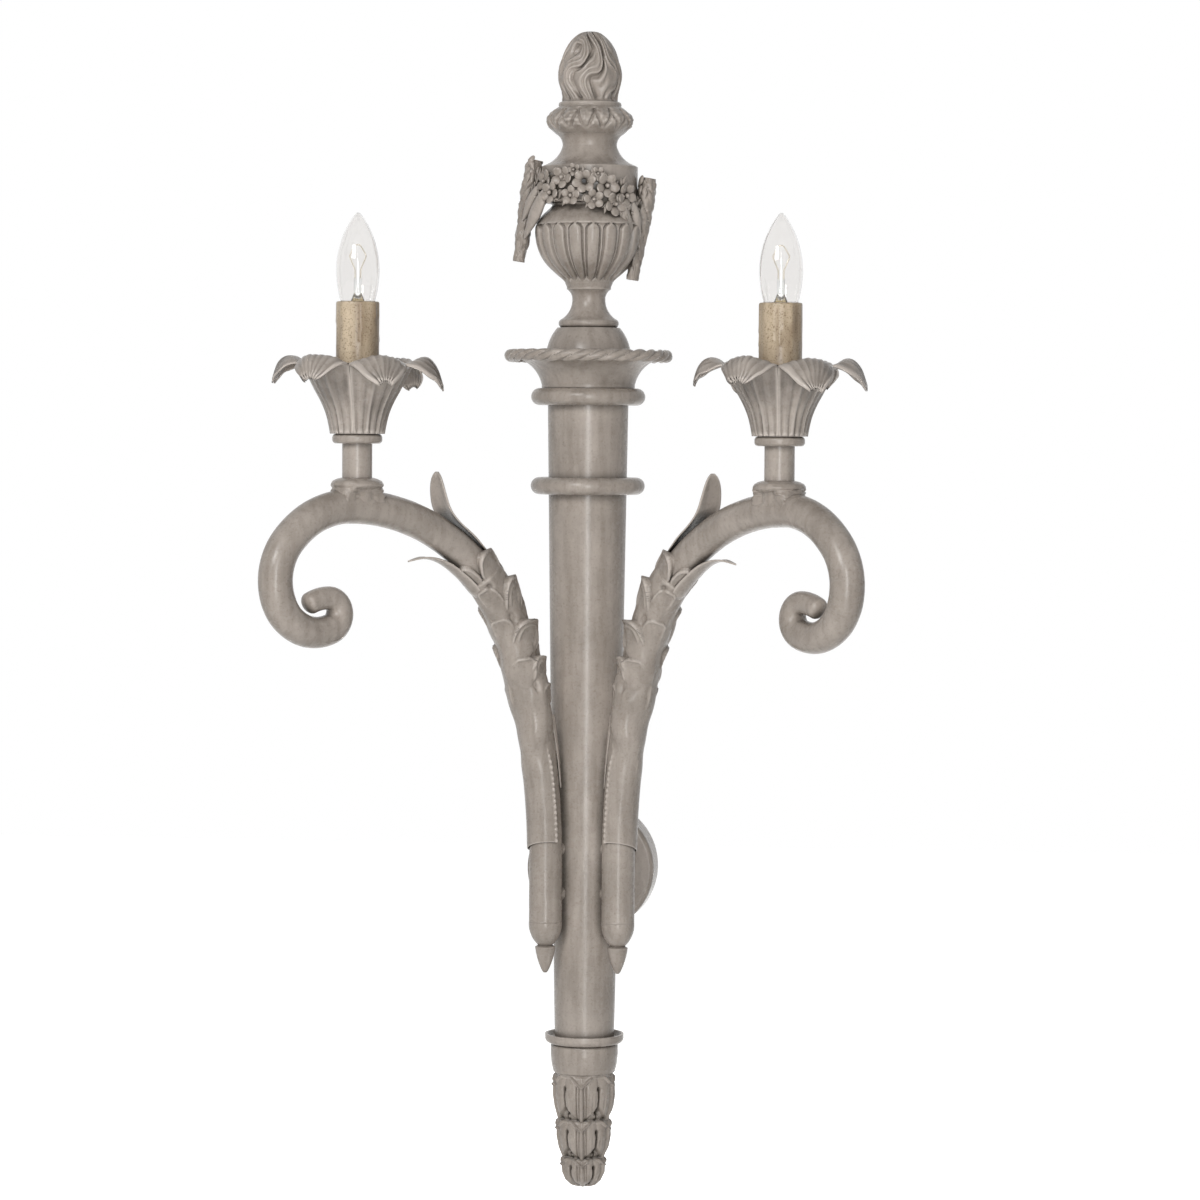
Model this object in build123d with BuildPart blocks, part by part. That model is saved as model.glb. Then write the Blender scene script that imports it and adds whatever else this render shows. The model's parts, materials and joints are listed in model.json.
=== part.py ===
# Double wall light: a tapered round column with a gadrooned urn on top and a leaf pendant below,
# and two scrolled arms in leaf sheaths, each with a leaf cup, a candle sleeve and a candle lamp.
# Millimetres, +Z up, the wall is the plane y = 0 and the front faces -Y.
# The origin is the centre of the wall plate's back edge.

import os
from math import cos, degrees, hypot, radians, sin, tan

from build123d import *

os.makedirs("parts", exist_ok=True)

# Layout and fits
COLUMN_STANDOFF = 78.0
ARM_PLANE_ANGLE = 45.0
FIT = 0.1

# Column
COLUMN_TOP_Z = 414.0
COLUMN_FOOT_Z = -139.0
COLUMN_TOP_R = 34.4
COLUMN_FOOT_R = 25.4
COLUMN_SWELL = 0.5
COLUMN_WALL = 2.5
RING_HEIGHT = 14.5
RING_PROUD = 14.0
RING_GAP = 0.25
MIDDLE_RING_DROP = 83.0
TOP_PLUG_HEIGHT = 8.0

# Wall fixing
PLATE_R = 56.0
PLATE_TAPER = 1.4
PLATE_DEPTH = 35.0
PLATE_WALL = 1.6
PLATE_EDGE_ROUND = 4.0
STRAP_WIDTH = 20.0
STRAP_THICK = 2.5
STRAP_TAB = 14.0
STRAP_WIRE_HOLE_R = 8.0
WALL_SCREW_SPACING = 70.0
WALL_SCREW_HOLE_R = 2.5
SIDE_SCREW_REACH = 8.0
SIDE_SCREW_R = 2.0
SIDE_SCREW_HEAD_R = 3.6
SIDE_SCREW_HEAD = 2.0
SIDE_SCREW_OVERRUN = 1.0
SIDE_SCREW_TAPER = 20.0
STANDOFF_R = 13.0
NIPPLE_R = 6.5
NIPPLE_BORE_R = 4.7
NIPPLE_OVERRUN = 1.5
NUT_R = 11.0
NUT_HEIGHT = 6.0
SADDLE_R = 11.0
SADDLE_THICK = 5.0
BLOCK_WIDTH = 18.0
BLOCK_DEPTH = 15.0
BLOCK_HEIGHT = 14.0
BLOCK_Z = 20.0
BLOCK_WAYS = 3
BLOCK_PITCH = 6.0
BLOCK_HOLE_R = 1.8

# Dish with the rope edge
DISH_FOOT_PROUD = 5.1
DISH_FOOT_BAND = 2.5
DISH_FLOOR_RISE = 15.0
DISH_FLOOR_MARGIN = 2.0
DISH_WALL = 3.0
DISH_RIM_R = 63.0
DISH_RIM_RISE = 27.0
DISH_FLARE = 5.0
ROPE_SEAT = 3.0
ROPE_R = 5.4

# Urn foot: skirt, dome, bead and neck, stacked on the dish floor
TIE_ROD_R = 4.0
TIE_ROD_REACH = 17.0
TIE_ROD_END_GAP = 1.0
FOOT_R = 36.0
FOOT_SKIRT = 9.0
FOOT_DOME = 35.9
FOOT_DOME_BOW = 2.7
FOOT_BEAD = 7.2
FOOT_BEAD_R = 25.5
FOOT_BEAD_ROUND = 2.5
FOOT_BEAD_LEDGE = 1.0
NECK_R = 14.0
NECK_LENGTH = 16.5
NECK_BOW = 2.4
NECK_FLARE = 8.4
NECK_FLARE_BOW = 1.2

# Urn bowl: profile rows are shares of the rise, the radius and the groove depth
BOWL_FOOT_R = 20.0
BOWL_FOOT_STEP = 2.0
BOWL_FOOT_BAND = 6.5
BOWL_R = 46.0
GADROONS = 18
GADROON_DEPTH = 2.6
GADROON_RISE = 42.5
GADROON_SHOULDER = 9.0
GADROON_PROFILE = [(0.20, 0.63, 0.6), (0.42, 0.84, 0.85), (0.70, 0.96, 1.0), (1.0, 1.0, 1.0)]
GADROON_TOP_STEP = 1.8
OGEE_STEP = 5.0
OGEE_HEIGHT = 11.5
OGEE_BOW = 2.1
OGEE_LIP = 3.5
BOWL_TOP_R = 30.0

# Urn shoulder: drum, cavetto and cove
DRUM_R = 40.8
DRUM_HEIGHT = 30.5
DRUM_CHAMFER = 4.0
DRUM_ARRIS = 3.0
CAVETTO_R = 23.0
CAVETTO_HEIGHT = 17.5
CAVETTO_BOW = 2.7
COVE_HEIGHT = 10.0
COVE_BOW = 1.6

# Leaf collar and flame: profile rows are shares of the height, the radius and the carving depth
COLLAR_FOOT_R = 28.0
COLLAR_R = 36.2
COLLAR_LEAVES = 12
COLLAR_LEAF_HEIGHT = 23.0
COLLAR_LEAF_DEPTH = 2.4
COLLAR_PROFILE = [
    (0, 0.787, 0.25),
    (0.17, 0.912, 0.67),
    (0.43, 1.0, 1.0),
    (0.74, 0.928, 0.92),
    (1.0, 0.757, 0.25),
]
COLLAR_BAND = 4.0
COLLAR_BAND_R = 24.5
FLAME_HEIGHT = 59.7
FLAME_R = 26.6
FLAME_TONGUES = 7
FLAME_DEPTH = 2.4
FLAME_TWIST = 26.0
FLAME_PROFILE = [
    (0, 0.872, 0.33),
    (0.168, 0.947, 0.75),
    (0.369, 1.0, 1.0),
    (0.603, 0.887, 1.0),
    (0.821, 0.617, 0.83),
    (0.95, 0.338, 0.42),
    (1.0, 0.113, 0.125),
]

# Flower swag, pinned on the front of the drum and hanging a little askew
SWAG_PIN_RISE = 16.0
SWAG_SAG = 4.0
SWAG_HEIGHT = 31.0
SWAG_DEPTH = 9.0
SWAG_SINK = 3.0
SWAG_SWEEP = 168.0
SWAG_TILT = 9.0
SWAG_FLOWERS = 9
SWAG_FLOWER_R = 7.0
SWAG_FLOWER_SINK = 3.5
SWAG_FLOWER_STEP = 6.0
# Tail sections of height against the pin, half width and half depth
SWAG_TAIL = [(13.0, 6.5, 7.5), (-6.0, 8.0, 12.0), (-36.0, 7.0, 9.5), (-74.0, 5.0, 5.6)]
SWAG_TAIL_OFFSET = 3.0
PIN_R = 1.7
PIN_SINK = 1.0

# Foot of the column: flange and leaf pendant, with tiers of (height, radius, share left at the foot)
FLANGE_R = 33.6
FLANGE_THICK = 5.0
FLANGE_LIP = 3.0
FLANGE_LIP_WIDTH = 2.0
FLANGE_LIP_SLOPE = 2.0
FLANGE_EDGE = 1.0
FLANGE_ROUND = 4.5
FLANGE_BOW = 1.2
SPIGOT_HEIGHT = 11.0
PENDANT_SPIGOT_R = 13.0
PENDANT_SPIGOT_LENGTH = 20.0
PENDANT_BAND = 25.0
PENDANT_BAND_R = 28.4
PENDANT_BAND_DRAW = 1.8
PENDANT_BAND_BOW = 0.7
PENDANT_GROOVE = 1.5
PENDANT_GROOVE_R = 22.5
PENDANT_LEAVES = 5
PENDANT_FIRST_GROOVE = 270.0
PENDANT_LEAF_DEPTH = 3.2
PENDANT_TIERS = [(38.5, 26.6, 0.80), (34.0, 22.8, 0.76), (25.0, 18.2, 0.24)]
PENDANT_PROFILE = [(0, 0.91, 0.4), (0.27, 1.0, 1.0), (0.66, 0.92, 0.9)]

# Arms: bends of (end heading, radius) from straight up, then scroll turns in tube radii
ARM_R = 14.0
ARM_WALL = 2.5
ARM_GAP = 1.3
ARM_FOOT_Z = -37.5
ARM_BEND_Z = 17.0
RISE_BENDS = [(23.0, 500.0), (47.5, 152.0)]
CREST_HEADING = 90.0
CREST_OVERRUN = 8.2
SCROLL_TURNS = [(140.0, 5.71), (200.0, 3.36), (290.0, 2.86), (360.0, 1.0), (450.0, 0.86), (475.0, 2.86)]
ARM_BORE_OVERRUN = 6.0
SCROLL_THIN_FROM = 200.0
SCROLL_END_R = 9.0
SCROLL_STEP = 10.0
SPACER_R = 6.5
SPACER_UPPER_Z = 24.0
SPACER_LOWER_Z = -14.0
LEAD_HOLE_R = 3.2
BUD_PLUG = 6.0
BUD_CUP = 19.5
BUD_CUP_BOW = 2.4
BUD_NECK_R = 6.2
BUD_R = 8.6
BUD_STEP = 1.5
BUD_LENGTH = 22.0
BUD_BOW = 1.0
BUD_TIP_R = 2.4
BUD_TIP = 1.2

# Leaf sheath round each arm: tiers of lobes that start at headings of the arm and lift off at their tips
SHEATH_WALL = 1.6
SHEATH_START = 1.3
SHEATH_END = 47.5
TIER_HEADINGS = [9.0, 13.0, 17.0, 21.0, 32.0]
TIER_LOBES = 4
LOBE_LENGTH = 40.0
LOBE_THICK = 1.9
# Lobe rows: (share of the length, distance beyond the arm's skin, half width)
LOBE_ROWS = [(0, -0.8, 7.0), (0.35, 0.9, 10.5), (0.7, 2.2, 10.5), (0.92, 4.0, 7.0), (1.0, 5.2, 3.0)]
# Long leaves: (heading on the arm, distance beyond its skin, own heading, half width)
STANDING_LEAF = [
    (40, 1.8, 43, 9.5),
    (50, 2.0, 50, 11.0),
    (59, 2.2, 52, 11.0),
    (64, 6.5, 30, 10.0),
    (66, 16.0, 12, 8.0),
    (68, 31.0, 5, 1.6),
]
UNDER_LEAF = [
    (40, 1.8, 44, 8.0),
    (55, 4.0, 68, 8.0),
    (62, 10.5, 85, 5.0),
    (68, 20.0, 100, 0.8),
]

# Candle stack, on a vertical axis this far from the column axis, piece on piece from the arm up
CANDLE_R = 242.0
BASE_COLLAR_R = 22.0
BASE_COLLAR_SINK = 3.5
BASE_COLLAR_HEIGHT = 13.0
BASE_COLLAR_FLAT = 2.0
STEM_R = 12.2
STEM_HEIGHT = 27.5
CUP_COLLAR_R = 20.3
CUP_COLLAR_HEIGHT = 7.8
CUP_COLLAR_FLAT = 1.6
CUP_FOOT_R = 20.8
CUP_WALL = 2.0
CUP_FLOOR = 3.0
CUP_WAIST_R = 34.0
CUP_WAIST_RISE = 33.7
CUP_BOW = 2.7
THROAT_BOW = 2.2
PETALS = 6
PETAL_CREST_R = 52.0
PETAL_CREST_RISE = 63.2
PETAL_R = 70.0
PETAL_TIP_RISE = 41.7
PETAL_BOW = 6.4
PETAL_ROOT_R = 43.0
PETAL_HALF = 21.5
PETAL_TRIM = 1.0
PETAL_NOTCH = 2.0
STUD_R = 5.0
STUD_BORE_R = 3.4
STUD_END_GAP = 3.0
STUD_NUT_R = 9.5
STUD_NUT_HEIGHT = 5.0

# Candle lamp, lampholder and sleeve, sized outwards from the screw cap and down from the sleeve top
SLEEVE_LENGTH = 104.0
SLEEVE_WALL = 1.5
SLEEVE_GAP = 0.3
HOLDER_WALL = 1.6
HOLDER_FLOOR = 8.0
HOLDER_SINK = 2.0
SHELL_WALL = 0.55
SHELL_SINK = 1.0
THREAD_GAP = 0.35
CONTACT_R = 7.0
CONTACT_RISE = 4.0
CONTACT_THICK = 1.0
CONTACT_TAPER = 15.0
CAP_R = 13.1
CAP_HEIGHT = 29.7
CAP_SINK = 1.3
CAP_SHELL_RISE = 4.7
CAP_SHELL_STEP = 2.5
CAP_SHELL_ROUND = 2.0
CAP_TIP_R = 5.0
CAP_TIP_ROUND = 1.0
CAP_TIP_GAP = 0.3
GLASS_LAP = 0.5
GLASS_R = 17.5
GLASS_LENGTH = 72.8
GLASS_MAX_RISE = 24.8
GLASS_CHEEK_BOW = 0.8
GLASS_BOW = 3.9
GLASS_TIP_R = 3.4
GLASS_TIP = 2.4
GLASS_TIP_FLAT = 1.1
GLASS_WALL = 0.8
MOUNT_R = 3.2
MOUNT_FLARE = 3.0
MOUNT_FOOT = 8.0
MOUNT_HEIGHT = 20.0
WIRE_R = 0.45
FILAMENT_R = 7.0
FILAMENT_LEG = 7.0
FILAMENT_WAIST = 18.0
FILAMENT_RISE = 30.0
FILAMENT_ROUND = 3.0

# Leads, one from each lampholder to the terminal block
LEAD_R = 1.5
LEAD_TOP_GAP = 4.0
LEAD_BEND = 14.0
LEAD_SMALL_BEND = 5.0
LEAD_CREST_BACK = 10.0
LEAD_LOWER_HEADING = 2.2
LEAD_COLUMN_R = 9.0
LEAD_COLUMN_RUN = 8.0
LEAD_NIPPLE_X = 1.9
LEAD_PLATE_RUN = 9.0


def save(builder, name):
    builder.part.label = name
    export_step(builder.part, f"parts/{name}.step")


def upright(x, y):
    # Section plane through a vertical axis: local x is the radius, local y the height
    return Plane(origin=(x, y, 0), x_dir=(1, 0, 0), z_dir=(0, -1, 0))


def bow(start, end, rise):
    # Arc in the line that is open, bowed to the left of its direction by a rise
    across_x, across_y = end[0] - start[0], end[1] - start[1]
    length = hypot(across_x, across_y)
    middle_x = (start[0] + end[0]) / 2 - rise * across_y / length
    middle_y = (start[1] + end[1]) / 2 + rise * across_x / length
    ThreePointArc(start, (middle_x, middle_y), end)


COLUMN_AXIS = Axis((0, -COLUMN_STANDOFF, 0), (0, 0, 1))
COLUMN_PLANE = upright(0, -COLUMN_STANDOFF)
# Section plane of the wall plate: local x is the radius, local y runs forward from the wall
PLATE_PLANE = Plane(origin=(0, 0, 0), x_dir=(1, 0, 0), z_dir=(0, 0, -1))
column_middle_z = (COLUMN_TOP_Z + COLUMN_FOOT_Z) / 2
column_middle_r = (COLUMN_TOP_R + COLUMN_FOOT_R) / 2 + COLUMN_SWELL


def column_r(z):
    # Outer radius of the column at a height: two tapers with a slight swell where they meet
    if z < column_middle_z:
        share = (z - COLUMN_FOOT_Z) / (column_middle_z - COLUMN_FOOT_Z)
        return COLUMN_FOOT_R + (column_middle_r - COLUMN_FOOT_R) * share
    share = (z - column_middle_z) / (COLUMN_TOP_Z - column_middle_z)
    return column_middle_r + (COLUMN_TOP_R - column_middle_r) * share


def column_blank(grow):
    # Solid of the column's outer shape, grown or shrunk by an even amount
    with BuildPart() as blank:
        with BuildSketch(COLUMN_PLANE):
            with BuildLine():
                Polyline(
                    (0, COLUMN_FOOT_Z),
                    (COLUMN_FOOT_R + grow, COLUMN_FOOT_Z),
                    (column_middle_r + grow, column_middle_z),
                    (COLUMN_TOP_R + grow, COLUMN_TOP_Z),
                    (0, COLUMN_TOP_Z),
                    close=True,
                )
            make_face()
        revolve(axis=COLUMN_AXIS)
    return blank.part


def column_level(z):
    return Plane(origin=(0, -COLUMN_STANDOFF, z))


def around(radius, bearing):
    return radius * cos(radians(bearing)), radius * sin(radians(bearing))


def carved(count, sections, twist=0.0, first_groove=0.0):
    # Loft on the column axis through lobed rounds of (height, crest radius, groove depth)
    step = 360 / count
    with BuildPart() as blank:
        for i, (z, crest_r, depth) in enumerate(sections):
            turn = first_groove + twist * i / (len(sections) - 1)
            valley_r = crest_r - depth
            with BuildSketch(column_level(z)):
                with BuildLine():
                    for lobe in range(count):
                        bearing = turn + lobe * step
                        ThreePointArc(
                            around(valley_r, bearing),
                            around(crest_r, bearing + step / 2),
                            around(valley_r, bearing + step),
                        )
                make_face()
        loft()
    return blank.part


def profiled(profile, foot_z, height, radius, depth):
    # Carving sections from rows of shares of a height, a radius and a depth
    return [(foot_z + up * height, out * radius, cut * depth) for up, out, cut in profile]


# Wall strap
plate_face_r = PLATE_R - PLATE_TAPER
plate_span = 2 * (PLATE_R + SIDE_SCREW_HEAD)
strap_half = plate_face_r - PLATE_WALL - 2 * FIT
tab_z = strap_half - STRAP_THICK / 2
with BuildPart() as wall_strap:
    with BuildSketch(Plane.XZ):
        Rectangle(STRAP_WIDTH, 2 * strap_half)
        Circle(STRAP_WIRE_HOLE_R, mode=Mode.SUBTRACT)
        with GridLocations(0, WALL_SCREW_SPACING, 1, 2):
            Circle(WALL_SCREW_HOLE_R, mode=Mode.SUBTRACT)
    extrude(amount=STRAP_THICK)
    with Locations((0, -STRAP_TAB / 2, tab_z), (0, -STRAP_TAB / 2, -tab_z)):
        Box(STRAP_WIDTH, STRAP_TAB, STRAP_THICK)
    with Locations((0, -SIDE_SCREW_REACH, 0)):
        Cylinder(SIDE_SCREW_R + FIT / 2, plate_span, mode=Mode.SUBTRACT)
    # The tab corners follow the round wall plate
    with BuildSketch(Plane.XZ):
        Circle(strap_half)
    extrude(amount=STRAP_TAB, mode=Mode.INTERSECT)
save(wall_strap, "wall_strap")

# Dished wall plate
plate_inner_face = (plate_face_r - PLATE_WALL, PLATE_DEPTH - PLATE_WALL)
with BuildPart() as wall_plate:
    with BuildSketch(PLATE_PLANE) as section:
        with BuildLine():
            Polyline(
                (PLATE_R, 0),
                (plate_face_r, PLATE_DEPTH),
                (NIPPLE_R + 2 * FIT, PLATE_DEPTH),
                (NIPPLE_R + 2 * FIT, PLATE_DEPTH - PLATE_WALL),
                plate_inner_face,
                (PLATE_R - PLATE_WALL, 0),
                close=True,
            )
        make_face()
        outer_corner = section.vertices().sort_by_distance((plate_face_r, PLATE_DEPTH))[0]
        fillet(outer_corner, PLATE_EDGE_ROUND)
        inner_corner = section.vertices().sort_by_distance(plate_inner_face)[0]
        fillet(inner_corner, PLATE_EDGE_ROUND - PLATE_WALL)
    revolve(axis=Axis.Y)
    with Locations((0, -SIDE_SCREW_REACH, 0)):
        Cylinder(SIDE_SCREW_R + FIT, plate_span, mode=Mode.SUBTRACT)
save(wall_plate, "wall_plate")

# Side screws that hold the plate on the strap, top and bottom
shank_start = strap_half - STRAP_THICK - SIDE_SCREW_OVERRUN
shank_end = PLATE_R + FIT
with BuildPart() as side_screws:
    for direction in (1, -1):
        for start, radius, length, taper in (
            (shank_start, SIDE_SCREW_R, shank_end - shank_start, 0),
            (shank_end, SIDE_SCREW_HEAD_R, SIDE_SCREW_HEAD, SIDE_SCREW_TAPER),
        ):
            screw_start = (0, -SIDE_SCREW_REACH, direction * start)
            with BuildSketch(Plane(origin=screw_start, z_dir=(0, 0, direction))):
                Circle(radius)
            extrude(amount=length, taper=taper)
save(side_screws, "side_screws")

# Standoff sleeve between the wall plate and the column
with BuildPart() as standoff_sleeve:
    with BuildSketch(Plane.XZ.offset(PLATE_DEPTH)):
        Circle(STANDOFF_R)
        Circle(NIPPLE_R + FIT, mode=Mode.SUBTRACT)
    extrude(amount=COLUMN_STANDOFF - PLATE_DEPTH)
    add(column_blank(FIT), mode=Mode.SUBTRACT)
save(standoff_sleeve, "standoff_sleeve")

# Hollow nipple from inside the column to inside the wall plate, with a nut at each end
saddle_front = COLUMN_STANDOFF - column_r(0) + COLUMN_WALL + SADDLE_THICK
plate_nut_front = PLATE_DEPTH - PLATE_WALL
nipple_back = plate_nut_front - NUT_HEIGHT - NIPPLE_OVERRUN
nipple_length = saddle_front + NUT_HEIGHT + NIPPLE_OVERRUN - nipple_back
with BuildPart() as hollow_nipple:
    with BuildSketch(Plane.XZ.offset(nipple_back)):
        Circle(NIPPLE_R)
        Circle(NIPPLE_BORE_R, mode=Mode.SUBTRACT)
    extrude(amount=nipple_length)
save(hollow_nipple, "hollow_nipple")

with BuildPart() as nipple_nuts:
    with BuildSketch(Plane.XZ.offset(plate_nut_front - NUT_HEIGHT), Plane.XZ.offset(saddle_front)):
        RegularPolygon(NUT_R, 6)
        Circle(NIPPLE_R + FIT, mode=Mode.SUBTRACT)
    extrude(amount=NUT_HEIGHT)
save(nipple_nuts, "nipple_nuts")

with BuildPart() as saddle_washer:
    add(column_blank(-COLUMN_WALL - FIT))
    with BuildSketch(Plane.XZ.offset(saddle_front - 2 * SADDLE_THICK)):
        Circle(SADDLE_R)
        Circle(NIPPLE_R + FIT, mode=Mode.SUBTRACT)
    extrude(amount=2 * SADDLE_THICK, mode=Mode.INTERSECT)
save(saddle_washer, "saddle_washer")

# Terminal block on the strap
block_y = -STRAP_THICK - BLOCK_DEPTH / 2
with BuildPart() as terminal_block:
    with Locations((0, block_y, BLOCK_Z)):
        Box(BLOCK_WIDTH, BLOCK_DEPTH, BLOCK_HEIGHT)
        with GridLocations(BLOCK_PITCH, 0, BLOCK_WAYS, 1):
            Cylinder(BLOCK_HOLE_R, BLOCK_HEIGHT, mode=Mode.SUBTRACT)
save(terminal_block, "terminal_block")

# Arm planes, each through the column axis: local x is the distance from the axis, local y the height
SIDES = {"left": -1, "right": 1}
arm_foot_r = column_r(ARM_BEND_Z) + ARM_R + ARM_GAP


def arm_plane(side):
    outward = Vector(side * cos(radians(ARM_PLANE_ANGLE)), -sin(radians(ARM_PLANE_ANGLE)), 0)
    return Plane(origin=(0, -COLUMN_STANDOFF, 0), x_dir=outward, z_dir=outward.cross(Vector(0, 0, 1)))


def follow(bends, heading):
    # Point on a run of bends where it points this many degrees away from straight up
    r, z = arm_foot_r, ARM_BEND_Z
    start = 0
    for end, radius in bends:
        stop = min(max(heading, start), end)
        r += radius * (cos(radians(start)) - cos(radians(stop)))
        z += radius * (sin(radians(stop)) - sin(radians(start)))
        start = end
    return r, z


# The bend up to the crest ends just beyond the candle axis
rise_heading = RISE_BENDS[-1][0]
crest_reach = CANDLE_R + CREST_OVERRUN - follow(RISE_BENDS, rise_heading)[0]
crest_bend_r = crest_reach / (cos(radians(rise_heading)) - cos(radians(CREST_HEADING)))
scroll_bends = [(heading, turns * ARM_R) for heading, turns in SCROLL_TURNS]
arm_bends = RISE_BENDS + [(CREST_HEADING, crest_bend_r)] + scroll_bends
scroll_start = CREST_HEADING + ARM_BORE_OVERRUN
scroll_end = SCROLL_TURNS[-1][0]


def arm_point(heading):
    return follow(arm_bends, heading)


def beside_arm(heading, reach):
    # Point off the centreline, towards the column where the reach is above zero
    r, z = arm_point(heading)
    return r - reach * cos(radians(heading)), z + reach * sin(radians(heading))


def arm_arcs(first, last):
    # Arcs of the centreline between two headings, drawn in the line that is open
    start = 0
    for end, radius in arm_bends:
        a, b = max(first, start), min(last, end)
        if b > a:
            ThreePointArc(arm_point(a), arm_point((a + b) / 2), arm_point(b))
        start = end


def across(plane, point, heading):
    # Plane square to a direction in an arm plane, with local x along the arm plane's normal
    forward = plane.x_dir * sin(radians(heading)) + plane.y_dir * cos(radians(heading))
    return Plane(origin=plane.from_local_coords((*point, 0)), x_dir=plane.z_dir, z_dir=forward)


def arm_blank(side, radius, top):
    # Solid round bar along the arm from its foot to a heading
    plane = arm_plane(side)
    with BuildPart() as blank:
        with BuildLine(plane):
            Line((arm_foot_r, ARM_FOOT_Z), (arm_foot_r, ARM_BEND_Z))
            arm_arcs(0, top)
        with BuildSketch(across(plane, (arm_foot_r, ARM_FOOT_Z), 0)):
            Circle(radius)
        sweep()
    return blank.part


def lug_plane(side, z):
    # Plane square to the line from the column axis to the arm, at a height
    plane = arm_plane(side)
    return Plane(origin=(0, -COLUMN_STANDOFF, z), x_dir=plane.y_dir, z_dir=plane.x_dir)


upper_lugs = [lug_plane(side, SPACER_UPPER_Z) for side in SIDES.values()]
lower_lugs = [lug_plane(side, SPACER_LOWER_Z) for side in SIDES.values()]

# Column tube
with BuildPart() as column:
    add(column_blank(0))
    add(column_blank(-COLUMN_WALL), mode=Mode.SUBTRACT)
    with BuildSketch(Plane.XZ):
        Circle(NIPPLE_R + FIT)
    extrude(amount=COLUMN_STANDOFF, mode=Mode.SUBTRACT)
    with BuildSketch(*upper_lugs):
        Circle(LEAD_HOLE_R)
    extrude(amount=arm_foot_r, mode=Mode.SUBTRACT)
save(column, "column")

tie_rod_foot_z = COLUMN_TOP_Z - TOP_PLUG_HEIGHT
with BuildPart() as column_top_plug:
    add(column_blank(-COLUMN_WALL - FIT))
    with BuildSketch(column_level(tie_rod_foot_z)):
        Circle(COLUMN_TOP_R)
        Circle(TIE_ROD_R + FIT, mode=Mode.SUBTRACT)
    extrude(amount=TOP_PLUG_HEIGHT, mode=Mode.INTERSECT)
save(column_top_plug, "column_top_plug")

# Half-round rings on the column
upper_ring_z = COLUMN_TOP_Z - RING_HEIGHT / 2 - RING_GAP
middle_ring_z = COLUMN_TOP_Z - MIDDLE_RING_DROP
ring_edge_r = COLUMN_TOP_R + RING_PROUD - RING_HEIGHT / 2
for name, ring_z in (("upper_ring", upper_ring_z), ("middle_ring", middle_ring_z)):
    with BuildPart() as ring:
        with BuildSketch(COLUMN_PLANE):
            with Locations((ring_edge_r, ring_z)):
                Circle(RING_HEIGHT / 2)
                Rectangle(RING_PROUD, RING_HEIGHT, align=(Align.MAX, Align.CENTER))
        revolve(axis=COLUMN_AXIS)
        add(column_blank(FIT), mode=Mode.SUBTRACT)
    save(ring, name)

# Flared dish on the column top
rod_bore_r = TIE_ROD_R + FIT
dish_foot_r = COLUMN_TOP_R + DISH_FOOT_PROUD
dish_floor_z = COLUMN_TOP_Z + DISH_FLOOR_RISE
dish_rim_z = COLUMN_TOP_Z + DISH_RIM_RISE
dish_foot_top = (dish_foot_r, COLUMN_TOP_Z + DISH_FOOT_BAND)
dish_rim_low = (DISH_RIM_R, dish_rim_z - DISH_WALL / 2)
with BuildPart() as rope_dish:
    with BuildSketch(COLUMN_PLANE):
        with BuildLine():
            bow(dish_foot_top, dish_rim_low, DISH_FLARE)
            Polyline(
                dish_rim_low,
                (DISH_RIM_R, dish_rim_z + DISH_WALL / 2),
                (FOOT_R + DISH_FLOOR_MARGIN, dish_floor_z),
                (rod_bore_r, dish_floor_z),
                (rod_bore_r, dish_floor_z - DISH_WALL),
                (dish_foot_r - DISH_WALL, dish_floor_z - DISH_WALL),
                (dish_foot_r - DISH_WALL, COLUMN_TOP_Z),
                (dish_foot_r, COLUMN_TOP_Z),
                dish_foot_top,
            )
        make_face()
    revolve(axis=COLUMN_AXIS)
save(rope_dish, "rope_dish")

# Rope edge laid round the dish rim
with BuildPart() as rope_rim:
    with BuildSketch(COLUMN_PLANE):
        with Locations((DISH_RIM_R + ROPE_SEAT, dish_rim_z)):
            Circle(ROPE_R)
    revolve(axis=COLUMN_AXIS)
    add(rope_dish.part, mode=Mode.SUBTRACT)
save(rope_rim, "rope_rim")

# Urn foot: skirt, dome, bead and neck
dome_top_z = dish_floor_z + FOOT_DOME
bead_top_z = dome_top_z + FOOT_BEAD
neck_z = bead_top_z + NECK_LENGTH
bowl_z = neck_z + NECK_FLARE
skirt_top = (FOOT_R, dish_floor_z + FOOT_SKIRT)
dome_top = (FOOT_BEAD_R + FOOT_BEAD_LEDGE, dome_top_z)
bead_low = (FOOT_BEAD_R - FOOT_BEAD_ROUND, dome_top_z)
bead_high = (FOOT_BEAD_R - FOOT_BEAD_ROUND, bead_top_z)
neck = (NECK_R, neck_z)
neck_top = (BOWL_FOOT_R - BOWL_FOOT_STEP, bowl_z)
with BuildPart() as urn_foot:
    with BuildSketch(COLUMN_PLANE):
        with BuildLine():
            Polyline(
                neck_top,
                (rod_bore_r, bowl_z),
                (rod_bore_r, dish_floor_z),
                (FOOT_R, dish_floor_z),
                skirt_top,
            )
            bow(skirt_top, dome_top, -FOOT_DOME_BOW)
            Line(dome_top, bead_low)
            bow(bead_low, bead_high, -FOOT_BEAD_ROUND)
            bow(bead_high, neck, NECK_BOW)
            bow(neck, neck_top, NECK_FLARE_BOW)
        make_face()
    revolve(axis=COLUMN_AXIS)
save(urn_foot, "urn_foot")

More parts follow.
